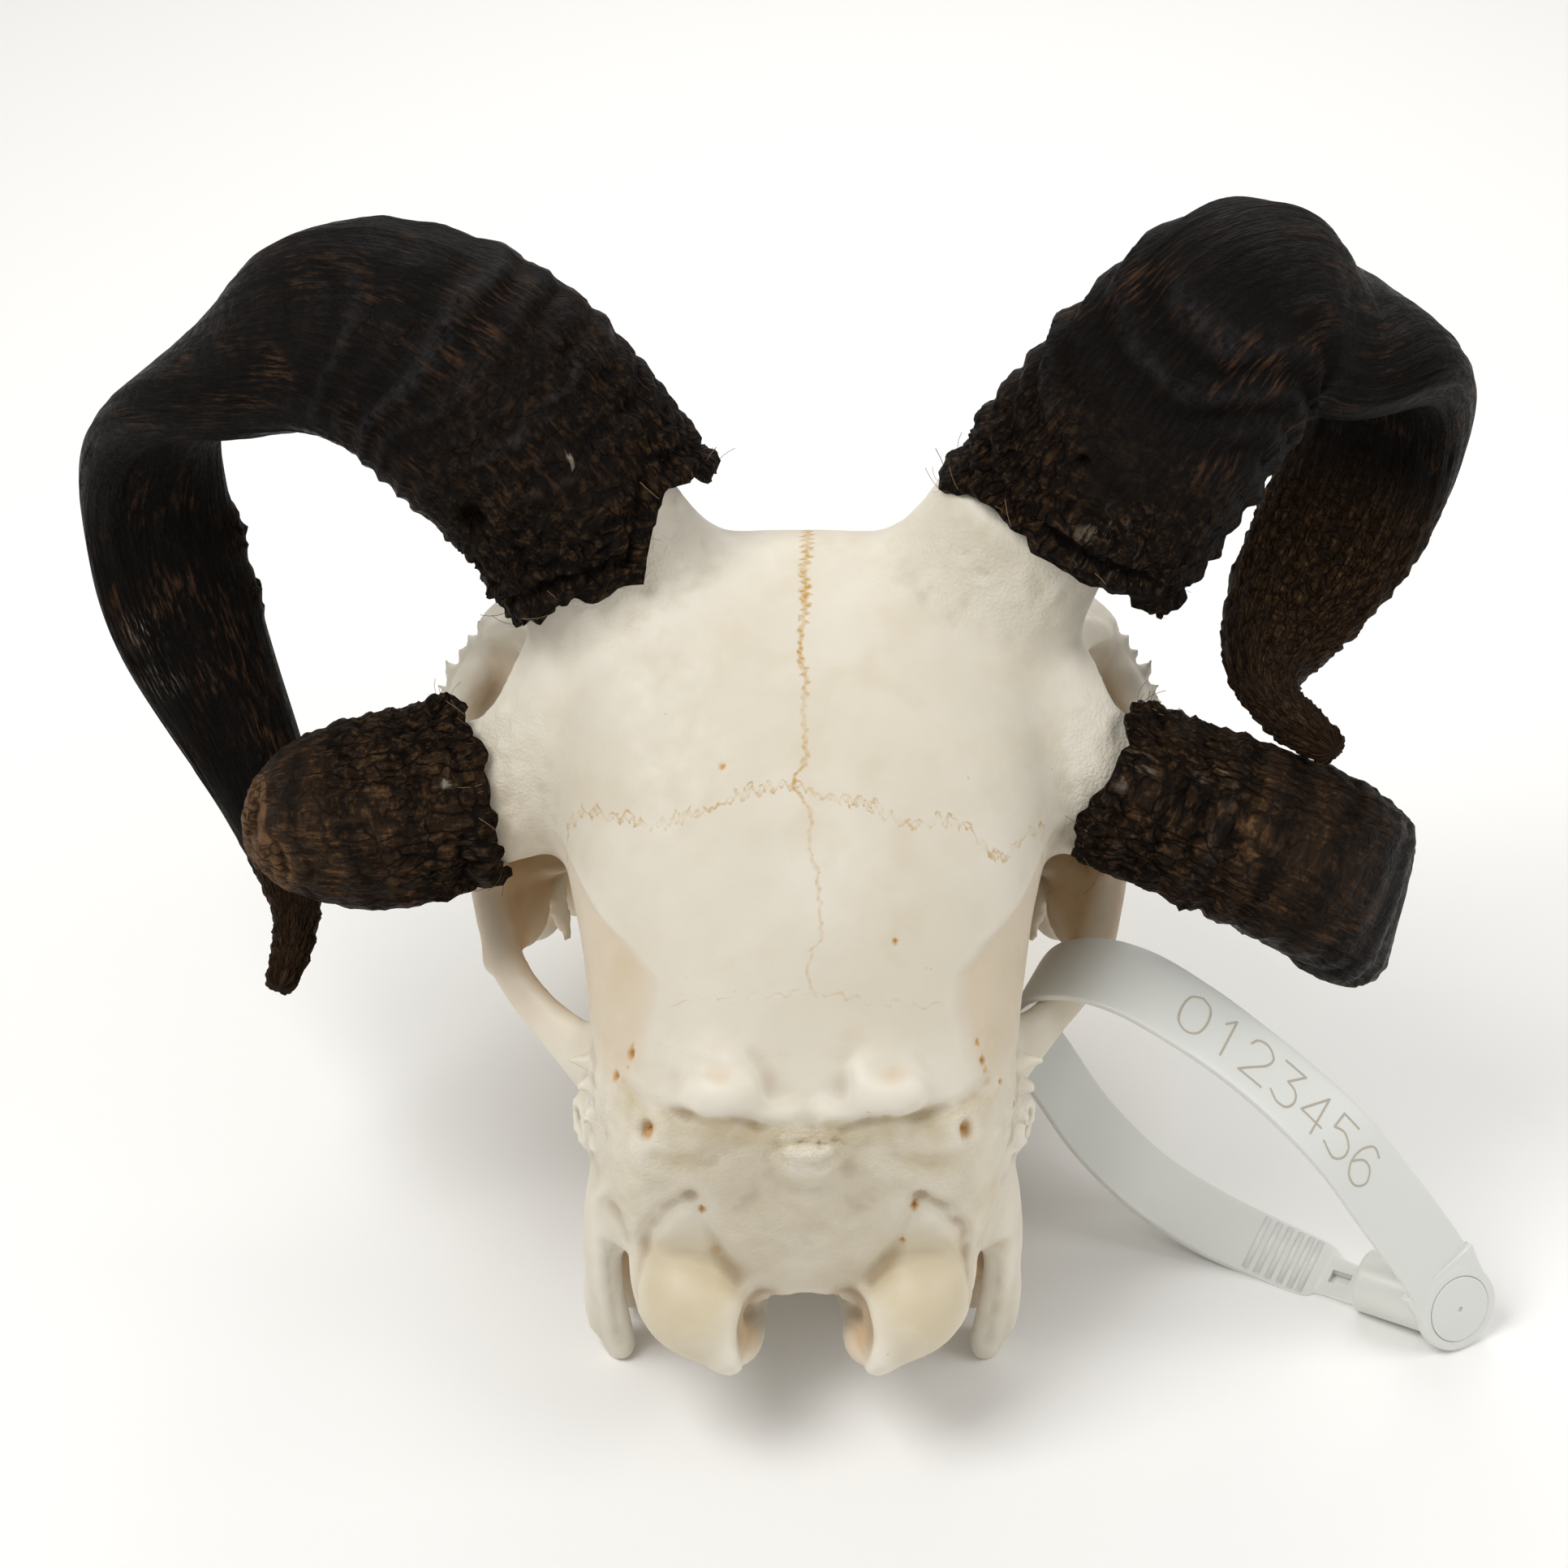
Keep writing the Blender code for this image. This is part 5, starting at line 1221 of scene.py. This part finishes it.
horn_edges = []
for name, *grown in (
    ("horn_upper_left", UPPER_LEFT_HORN, HORN_SQUARENESS,
     [(30, 0), (90, -1), (150, 0), (186, 0.5), (232, 3.8), (250, 2.8), (262, 1.4), (270, 0.5), (276, 3.8),
      (288, 8.0), (300, 9.8), (320, 6.5), (338, 3.8)], (4.3, 1.2, 3.6, 75), 30, 0.84, 41,
     [((-34.3, 41.1, 142.8), 1.3, 0.4, "pin"), ((-49.5, 38.0, 134.9), 3.4, 2.6, "hole"),
      ((-46.0, 44.5, 115.7), 9, 0, "scaly"), ((-106.8, 68.7, 94.7), 5, 0, "dust"), ((-104, 66, 87), 5, 0, "dust"),
      ((-92.5, 83, 106), 7, -1.2, "scaly"), ((-90, 80, 96), 6, -0.8, "scaly")]),
    ("horn_upper_right", UPPER_RIGHT_HORN, HORN_SQUARENESS,
     [(12, -2.4), (44, 3.1), (58, 5.1), (74, 3.9), (88, 2.7), (98, 2.7), (118, 3.5), (160, 2), (200, 1), (270, 0),
      (320, -1)], (6.0, 2.0, 4.8, 62), 20, 0.58, 61,
     [((40.8, 40.5, 143.4), 1.7, 1.6, "hole"), ((45.0, 37.8, 130.8), 8, 0, "dust"), ((50, 38, 133), 9, 0, "scaly"),
      ((56, 42, 150), 9, 0.6, "hole")]),
    ("horn_lower_left", LOWER_LEFT_HORN, HORN_SQUARENESS,
     [(0, 2), (120, 2), (200, 2.5), (238, 3.5), (264, 3.9), (290, 2.5)], (5.2, 0.9, 2.2, 60), 34, 0.86, 81,
     [((-54.8, 27.0, 94.5), 1.3, 0.4, "pin"), ((-80.5, 27, 80), 9, 0.5, "tan"), ((-83, 30, 77), 8, 0, "tan"),
      ((-84, 35, 86), 8, 0, "tan"), ((-86, 34, 83), 8, 0, "tan"), ((-68, 27, 86), 34, 0, "dry")], 0.45),
    ("horn_lower_right", LOWER_RIGHT_HORN, LOWER_RIGHT_SQUARENESS,
     [(6, 2.2), (76, 4.9), (90, 3.9), (108, 2.2), (180, 2), (280, 2)], (6.2, 1.2, 2.8, 130), 36, 0.90, 101,
     [((50.1, 28.4, 95.9), 5, 0, "dust"), ((61.6, 25.2, 96.7), 4, 0, "dust"), ((68, 25, 90), 32, 0, "dry")]),
):
    sheath, torn_edge = grow_sheath(name + "_sheath", *grown)
    horn_edges.append(torn_edge)
    finish_piece(sheath, horn_material, [name])

# A few coarse hairs and loose fibres of dried skin still stick out from under each sheath.
HAIR_LENGTH = 4.5
HAIR_RADIUS = 0.055
HAIRS_PER_HORN = 34


def set_on_points(name, places, leans, sizes, material, part):
    """Copies of one small part on points, each turned its own way. part builds it from the group's inputs."""
    tree = bpy.data.node_groups.new(name, "GeometryNodeTree")
    for label, way, kind in (("Places", "INPUT", "Geometry"), *((size, "INPUT", "Float") for size in sizes),
                             ("Material", "INPUT", "Material"), ("Pieces", "OUTPUT", "Geometry")):
        tree.interface.new_socket(label, in_out=way, socket_type="NodeSocket" + kind)
    given = add(tree, "NodeGroupInput").node.outputs
    lean = add(tree, "GeometryNodeInputNamedAttribute", {"Name": "lean"}, data_type="FLOAT_VECTOR")
    turned = add(tree, "FunctionNodeEulerToRotation", (lean,))
    copies = add(tree, "GeometryNodeInstanceOnPoints",
                 {"Points": given["Places"], "Rotation": turned, **part(tree, given)})
    real = add(tree, "GeometryNodeRealizeInstances", (copies,))
    add(tree, "NodeGroupOutput",
        (add(tree, "GeometryNodeSetMaterial", {"Geometry": real, "Material": given["Material"]}),))
    mesh = bpy.data.meshes.new(name)
    mesh.from_pydata(places, [], [])
    write_attributes(mesh, lean=np.array(leans))
    obj = link_object(name, mesh)
    modifier = obj.modifiers.new("Copies", "NODES")
    modifier.node_group = tree
    for label, value in (*sizes.items(), ("Material", material)):
        modifier[tree.interface.items_tree[label].identifier] = value
    apply_modifiers(obj)
    return obj


def one_hair(tree, given):
    reach = add(tree, "ShaderNodeCombineXYZ", {"Z": given["Length"]})
    middle = add(tree, "ShaderNodeVectorMath", {0: reach, 1: (0.6, 0.9, 0.5)}, **TIMES)
    sag = add(tree, "ShaderNodeVectorMath", {0: middle, 1: (0.0011, 0.0, 0.0)})
    droop = add(tree, "ShaderNodeVectorMath", {0: reach, 1: (-0.0006, 0.0005, 0.0)})
    bow = add(tree, "GeometryNodeCurveQuadraticBezier",
              {"Resolution": 4, "Start": (0, 0, 0), "Middle": sag, "End": droop})
    round_hair = add(tree, "GeometryNodeCurvePrimitiveCircle", {"Resolution": 3, "Radius": given["Radius"]})
    strand = add(tree, "GeometryNodeCurveToMesh", {"Curve": bow, "Profile Curve": round_hair, "Fill Caps": True})
    sized = add(tree, "FunctionNodeRandomValue", {2: 0.35, 3: 1.3, "Seed": 7}, 1, data_type="FLOAT")
    return {"Instance": strand, "Scale": sized}


# Dry hair: dull brown, with a little shine along each strand.
fibre_material, tree, shader = new_material("dry_brown_hair", {"Base Color": linear("#7A6244"), "Roughness": 0.45})
draw = np.random.default_rng(5)
roots = []
leans = []
for torn_edge in horn_edges:
    middle = torn_edge.mean(axis=0)
    for index in draw.choice(len(torn_edge), HAIRS_PER_HORN, replace=False):
        root = torn_edge[index]
        out = Vector(root - middle).normalized()
        along = Vector(np.cross(torn_edge[(index + 3) % len(torn_edge)] - root, out)).normalized()
        aim = out * draw.uniform(0.1, 1.0) + along * draw.uniform(-1.0, -0.2) + Vector(draw.normal(0, 0.35, 3))
        roots.append(root - np.array(out) * 0.6)
        leans.append(aim.to_track_quat("Z", "Y").to_euler()[:])
fringe = set_on_points("horn_fringe_hairs", (np.array(roots) * MM).tolist(), leans,
                       {"Length": HAIR_LENGTH * MM, "Radius": HAIR_RADIUS * MM}, fibre_material, one_hair)
finish_piece(fringe, fibre_material)


# Museum tag
# A strap of white polypropylene, moulded in one piece with its round head, threaded through the right cheek arch.
# Its narrow end carries grip ribs and a slot, and plugs into a barrel behind the head, where a stud holds it.

TAG_AXIS = Vector((0.447, 0.874, 0.188)).normalized()
TAG_THICKNESS = 1.3
HEAD_THICKNESS = 2.0
HEAD_RADIUS = 7.2
STUD_RADIUS = 5.5
STUD_GAP = 0.14
COLLAR_REACH = 8.0
STRAP_STEPS = 12
BARREL_RADIUS = 5.2
BARREL_ENDS = (Vector((91.5, 13.8, 4.4)), Vector((103.5, 6.4, 5.6)))
HEAD_TWIST = math.radians(28)
TWISTED_STATIONS = 4.5
TAG_LOOP = [
    (105.1, 4.7, 6.9, 13.0), (100.2, 5.8, 16.2, 13.0), (92.0, 7.6, 27.9, 13.4), (84.9, 9.5, 37.4, 13.4),
    (76.6, 12.1, 45.4, 13.2), (68.8, 14.9, 51.4, 13.2), (61.1, 17.7, 56.2, 13.4), (52.2, 22.5, 59.2, 13.6),
    (44.6, 26.6, 58.9, 13.4), (38.2, 30.6, 54.8, 13.0), (35.6, 34.2, 46.4, 13.0), (37.0, 36.4, 37.4, 13.0),
    (41.6, 36.2, 28.8, 13.0), (48.1, 35.2, 18.4, 13.0), (57.3, 32.7, 8.9, 13.0), (67.4, 28.8, 3.6, 13.0),
    (77.0, 24.3, 1.3, 12.6), (84.7, 19.6, 0.65, 12.0), (86.8, 18.3, 0.68, 8.6), (91.4, 15.4, 0.85, 7.6),
    (97.6, 11.2, 2.0, 6.4),
]
RIBS = 6
RIB_REACH = (15.84, 16.86)  # the stations between which the ribs lie
RIB_RADIUS = 0.62
RIB_LENGTH = 11.0
SLOT_STATION = 18.45
SLOT_SIZE = (3.4, 2.7, 6.0)
DIGIT_REACH = (6.05, 2.6)
DIGIT_SIZE = (4.6, 7.2)
STROKE_RADIUS = 0.34
# The strokes of each digit, from its lower left corner, as shares of its width and height.
DIGIT_STROKES = {
    "0": [[(0.5, 1), (0.88, 0.86), (1, 0.5), (0.88, 0.14), (0.5, 0), (0.12, 0.14), (0, 0.5), (0.12, 0.86),
           (0.5, 1)]],
    "1": [[(0.25, 0.78), (0.55, 1)], [(0.55, 1), (0.55, 0)]],
    "2": [[(0.02, 0.78), (0.2, 0.96), (0.6, 1), (0.95, 0.82), (0.86, 0.56), (0.4, 0.26), (0, 0)],
          [(0, 0), (1, 0)]],
    "3": [[(0.05, 1), (0.95, 1)], [(0.95, 1), (0.45, 0.6)],
          [(0.45, 0.6), (0.86, 0.52), (1, 0.28), (0.8, 0.05), (0.4, 0), (0.02, 0.14)]],
    "4": [[(0.75, 0), (0.75, 1)], [(0.75, 1), (0, 0.3)], [(0, 0.3), (1, 0.3)]],
    "5": [[(0.9, 1), (0.15, 1)], [(0.15, 1), (0.08, 0.58)],
          [(0.08, 0.58), (0.5, 0.66), (0.95, 0.48), (0.96, 0.2), (0.6, 0), (0, 0.12)]],
    "6": [[(0.85, 0.93), (0.45, 1), (0.08, 0.7), (0, 0.3), (0.25, 0.03), (0.7, 0.02), (1, 0.28), (0.8, 0.56),
           (0.4, 0.58), (0.03, 0.34)]],
}

strap_axes = []
for i in range(len(TAG_LOOP)):
    to_head = Vector(TAG_LOOP[max(i - 1, 0)][:3]) - Vector(TAG_LOOP[min(i + 1, len(TAG_LOOP) - 1)][:3])
    strap_axes.append(Matrix.Rotation(HEAD_TWIST * max(1 - i / TWISTED_STATIONS, 0), 3, to_head) @ TAG_AXIS)
strap_rows = np.array(smooth_path([(*row, *axis) for row, axis in zip(TAG_LOOP, strap_axes)], STRAP_STEPS))
strap_stations = np.arange(len(strap_rows)) / STRAP_STEPS
strap_run = np.concatenate([[0], np.cumsum(np.linalg.norm(np.diff(strap_rows[:, :3], axis=0), axis=1))])


def on_strap(run, across, above):
    """A point run mm along the strap, across mm to one side of its middle and above mm outside its middle layer,
    with the outward direction there."""
    middle, ahead, behind = (Vector([np.interp(at, strap_run, column) for column in strap_rows.T[:3]])
                             for at in (run, run + 1, run - 1))
    axis = Vector([np.interp(run, strap_run, column) for column in strap_rows.T[4:]]).normalized()
    out = axis.cross(ahead - behind).normalized()
    return middle + out * above + axis * across, out


def turned_disc(name, centre, axis, radius, length, rounding):
    """A round piece along axis, with its two edges rounded."""
    bm = bmesh.new()
    bmesh.ops.create_cone(bm, cap_ends=True, segments=96, radius1=radius * MM, radius2=radius * MM,
                          depth=length * MM)
    rims = [edge for edge in bm.edges if abs(edge.verts[0].co.z - edge.verts[1].co.z) < 1e-7]
    bmesh.ops.bevel(bm, geom=rims, offset=rounding * MM, segments=4, profile=0.5, affect="EDGES")
    turn = Vector(axis).to_track_quat("Z", "Y").to_matrix().to_4x4()
    bmesh.ops.transform(bm, matrix=Matrix.Translation(Vector(centre) * MM) @ turn, verts=bm.verts)
    return put(name, bm)


# Moulded polypropylene: slightly translucent and satin, a cool white that has greyed a little.
tag_material, tree, shader = new_material("white_polypropylene", {
    "Base Color": linear("#DDDED8"), "Roughness": 0.32, "IOR": 1.49, "Subsurface Weight": 0.15,
    "Subsurface Radius": (0.0012, 0.0011, 0.001), "Subsurface Scale": 1.0,
})

head, head_out = on_strap(0, 0, 0)
ahead = (head - Vector(TAG_LOOP[1][:3])).normalized()
strap = sweep("museum_tag_strap", [(*row, TAG_THICKNESS, *axis) for row, axis in zip(TAG_LOOP, strap_axes)],
              sides=64, steps=10, square=9)
collar = head - ahead * COLLAR_REACH
plate = sweep("plate", [(*at, width, HEAD_THICKNESS, *strap_axes[0]) for at, width in (
    (head, 13.6), (head - ahead * 4, 13.8), (collar, 14.6))], sides=64, steps=4, square=12)
round_head = turned_disc("round_head", head, head_out, HEAD_RADIUS, HEAD_THICKNESS, 0.35)
barrel_run = BARREL_ENDS[1] - BARREL_ENDS[0]
barrel = turned_disc("barrel", sum(BARREL_ENDS, Vector()) / 2, barrel_run, BARREL_RADIUS, barrel_run.length, 1.0)
boolean(strap, [plate, round_head, barrel], "UNION")
slot_at, slot_out = on_strap(float(np.interp(SLOT_STATION, strap_stations, strap_run)), 0, 0)
bm = bmesh.new()
bmesh.ops.create_cube(bm, size=1)
slot_along = TAG_AXIS.cross(slot_out)
frame_of_slot = Matrix((slot_along, TAG_AXIS, slot_out)).transposed().to_4x4()
bmesh.ops.transform(bm, matrix=Matrix.Translation(slot_at * MM) @ frame_of_slot @ Matrix.Diagonal(
    (*[side * MM for side in SLOT_SIZE], 1)), verts=bm.verts)
bmesh.ops.recalc_face_normals(bm, faces=bm.faces)
rim = turned_disc("rim", head + head_out * HEAD_THICKNESS / 2, head_out, STUD_RADIUS + STUD_GAP, 0.5, 0.05)
boolean(strap, [put("slot", bm), rim, halfspace("floor", (0, 0, 0), (0, 0, -1))], "DIFFERENCE")
keep_largest(strap)
strap.data.set_sharp_from_angle(angle=0.6)
finish_piece(strap, tag_material, ["tag_band"])
stud = turned_disc("museum_tag_stud", head + head_out * (HEAD_THICKNESS / 2 - 0.05), head_out, STUD_RADIUS, 0.46,
                   0.1)
dimple = turned_disc("dimple", head + head_out * (HEAD_THICKNESS / 2 + 0.4), head_out, 0.45, 1.0, 0.05)
boolean(stud, [dimple], "DIFFERENCE")
stud.data.set_sharp_from_angle(angle=0.6)
finish_piece(stud, tag_material, ["tag_stud"])

# The grip ribs are one bar, set across the strap at points along it.
def one_bar(tree, given):
    return {"Instance": add(tree, "GeometryNodeMeshCylinder",
                            {"Vertices": 24, "Radius": given["Rib radius"], "Depth": given["Rib length"]})}


rib_runs = np.interp(np.linspace(*RIB_REACH, RIBS), strap_stations, strap_run)
rib_places = [on_strap(run, 0, -TAG_THICKNESS / 2 + RIB_RADIUS * 0.45)[0] * MM for run in rib_runs]
rib_leans = [TAG_AXIS.to_track_quat("Z", "Y").to_euler()[:]] * RIBS
ribs = set_on_points("museum_tag_ribs", rib_places, rib_leans,
                     {"Rib length": RIB_LENGTH * MM, "Rib radius": RIB_RADIUS * MM}, tag_material, one_bar)
rib_points = points_of(ribs.data)
rib_points[:, 2] = np.maximum(rib_points[:, 2], 0)
move_points(ribs.data, rib_points)
finish_piece(ribs, tag_material)

# The number is stamped in hot foil: thin satin lines of a brownish grey, in plain running digits. Each stroke is a
# fine bar sunk into the strap, so that it stands out by a hair.
ink_material, tree, shader = new_material("grey_foil_print", {"Base Color": linear("#B6AD9B"), "Roughness": 0.5})
strokes = []
digit_middles = np.linspace(*np.interp(DIGIT_REACH, strap_stations, strap_run), len(DIGIT_STROKES))
for middle, lines in zip(digit_middles, DIGIT_STROKES.values()):
    for line in lines:
        path = smooth_path(line, 5 if len(line) > 2 else 3)
        rows = [(*on_strap(middle - (x - 0.5) * DIGIT_SIZE[0], (y - 0.5) * DIGIT_SIZE[1],
                           TAG_THICKNESS / 2 - STROKE_RADIUS * 0.75)[0], STROKE_RADIUS) for x, y in path]
        strokes.append(rod("stroke", rows, sides=8, steps=1))
digits = strokes[0]
digits.name = "museum_tag_digits"
bm = bmesh.new()
for stroke in strokes:
    bm.from_mesh(stroke.data)
bm.to_mesh(digits.data)
bm.free()
for stroke in strokes[1:]:
    bpy.data.objects.remove(stroke, do_unlink=True)
finish_piece(digits, ink_material)


# Floor, light and camera
# A plain white sheet of paper under soft studio boxes, seen from behind and above the skull, as in the photograph.

floor_mesh = bpy.data.meshes.new("studio_floor")
FLOOR_HALF = 3.0
floor_mesh.from_pydata([(x * FLOOR_HALF, y * FLOOR_HALF, 0) for x, y in ((-1, -1), (1, -1), (1, 1), (-1, 1))], [],
                       [(0, 1, 2, 3)])
floor = link_object("studio_floor", floor_mesh)
paper, tree, shader = new_material("matt_white_paper", {"Base Color": linear("#F6F5F2"), "Roughness": 0.9})
floor_mesh.materials.append(paper)

bpy.context.scene.view_settings.view_transform = "Standard"
world = bpy.data.worlds.new("studio")
bpy.context.scene.world = world
world.use_nodes = True
for socket, value in (("Color", linear("#FFFFFF")), ("Strength", 0.42)):
    world.node_tree.nodes["Background"].inputs[socket].default_value = value

CAMERA_AT = Vector((-0.532, -500.119, 411.3))
CAMERA_TARGET = Vector((-0.532, -53.519, 90.4))
LENS = 82
LIT_POINT = Vector((0, -40, 70))
for name, at, size, power_of in (("key", (-330, -240, 660), 0.36, 3.0), ("fill", (540, -200, 430), 0.4, 1.3),
                                 ("back", (60, 480, 560), 0.5, 2.0)):
    light = bpy.data.lights.new(name, "AREA")
    light.shape = "SQUARE"
    light.size = size
    light.energy = power_of
    lamp = link_object(name, light)
    lamp.location = Vector(at) * MM
    lamp.rotation_euler = (LIT_POINT - Vector(at)).to_track_quat("-Z", "Y").to_euler()

view = bpy.data.cameras.new("camera")
view.lens = LENS
view.clip_start = 0.05
view.clip_end = 20
camera = link_object("camera", view)
camera.location = CAMERA_AT * MM
camera.rotation_euler = (CAMERA_TARGET - CAMERA_AT).to_track_quat("-Z", "Y").to_euler()
bpy.context.scene.camera = camera
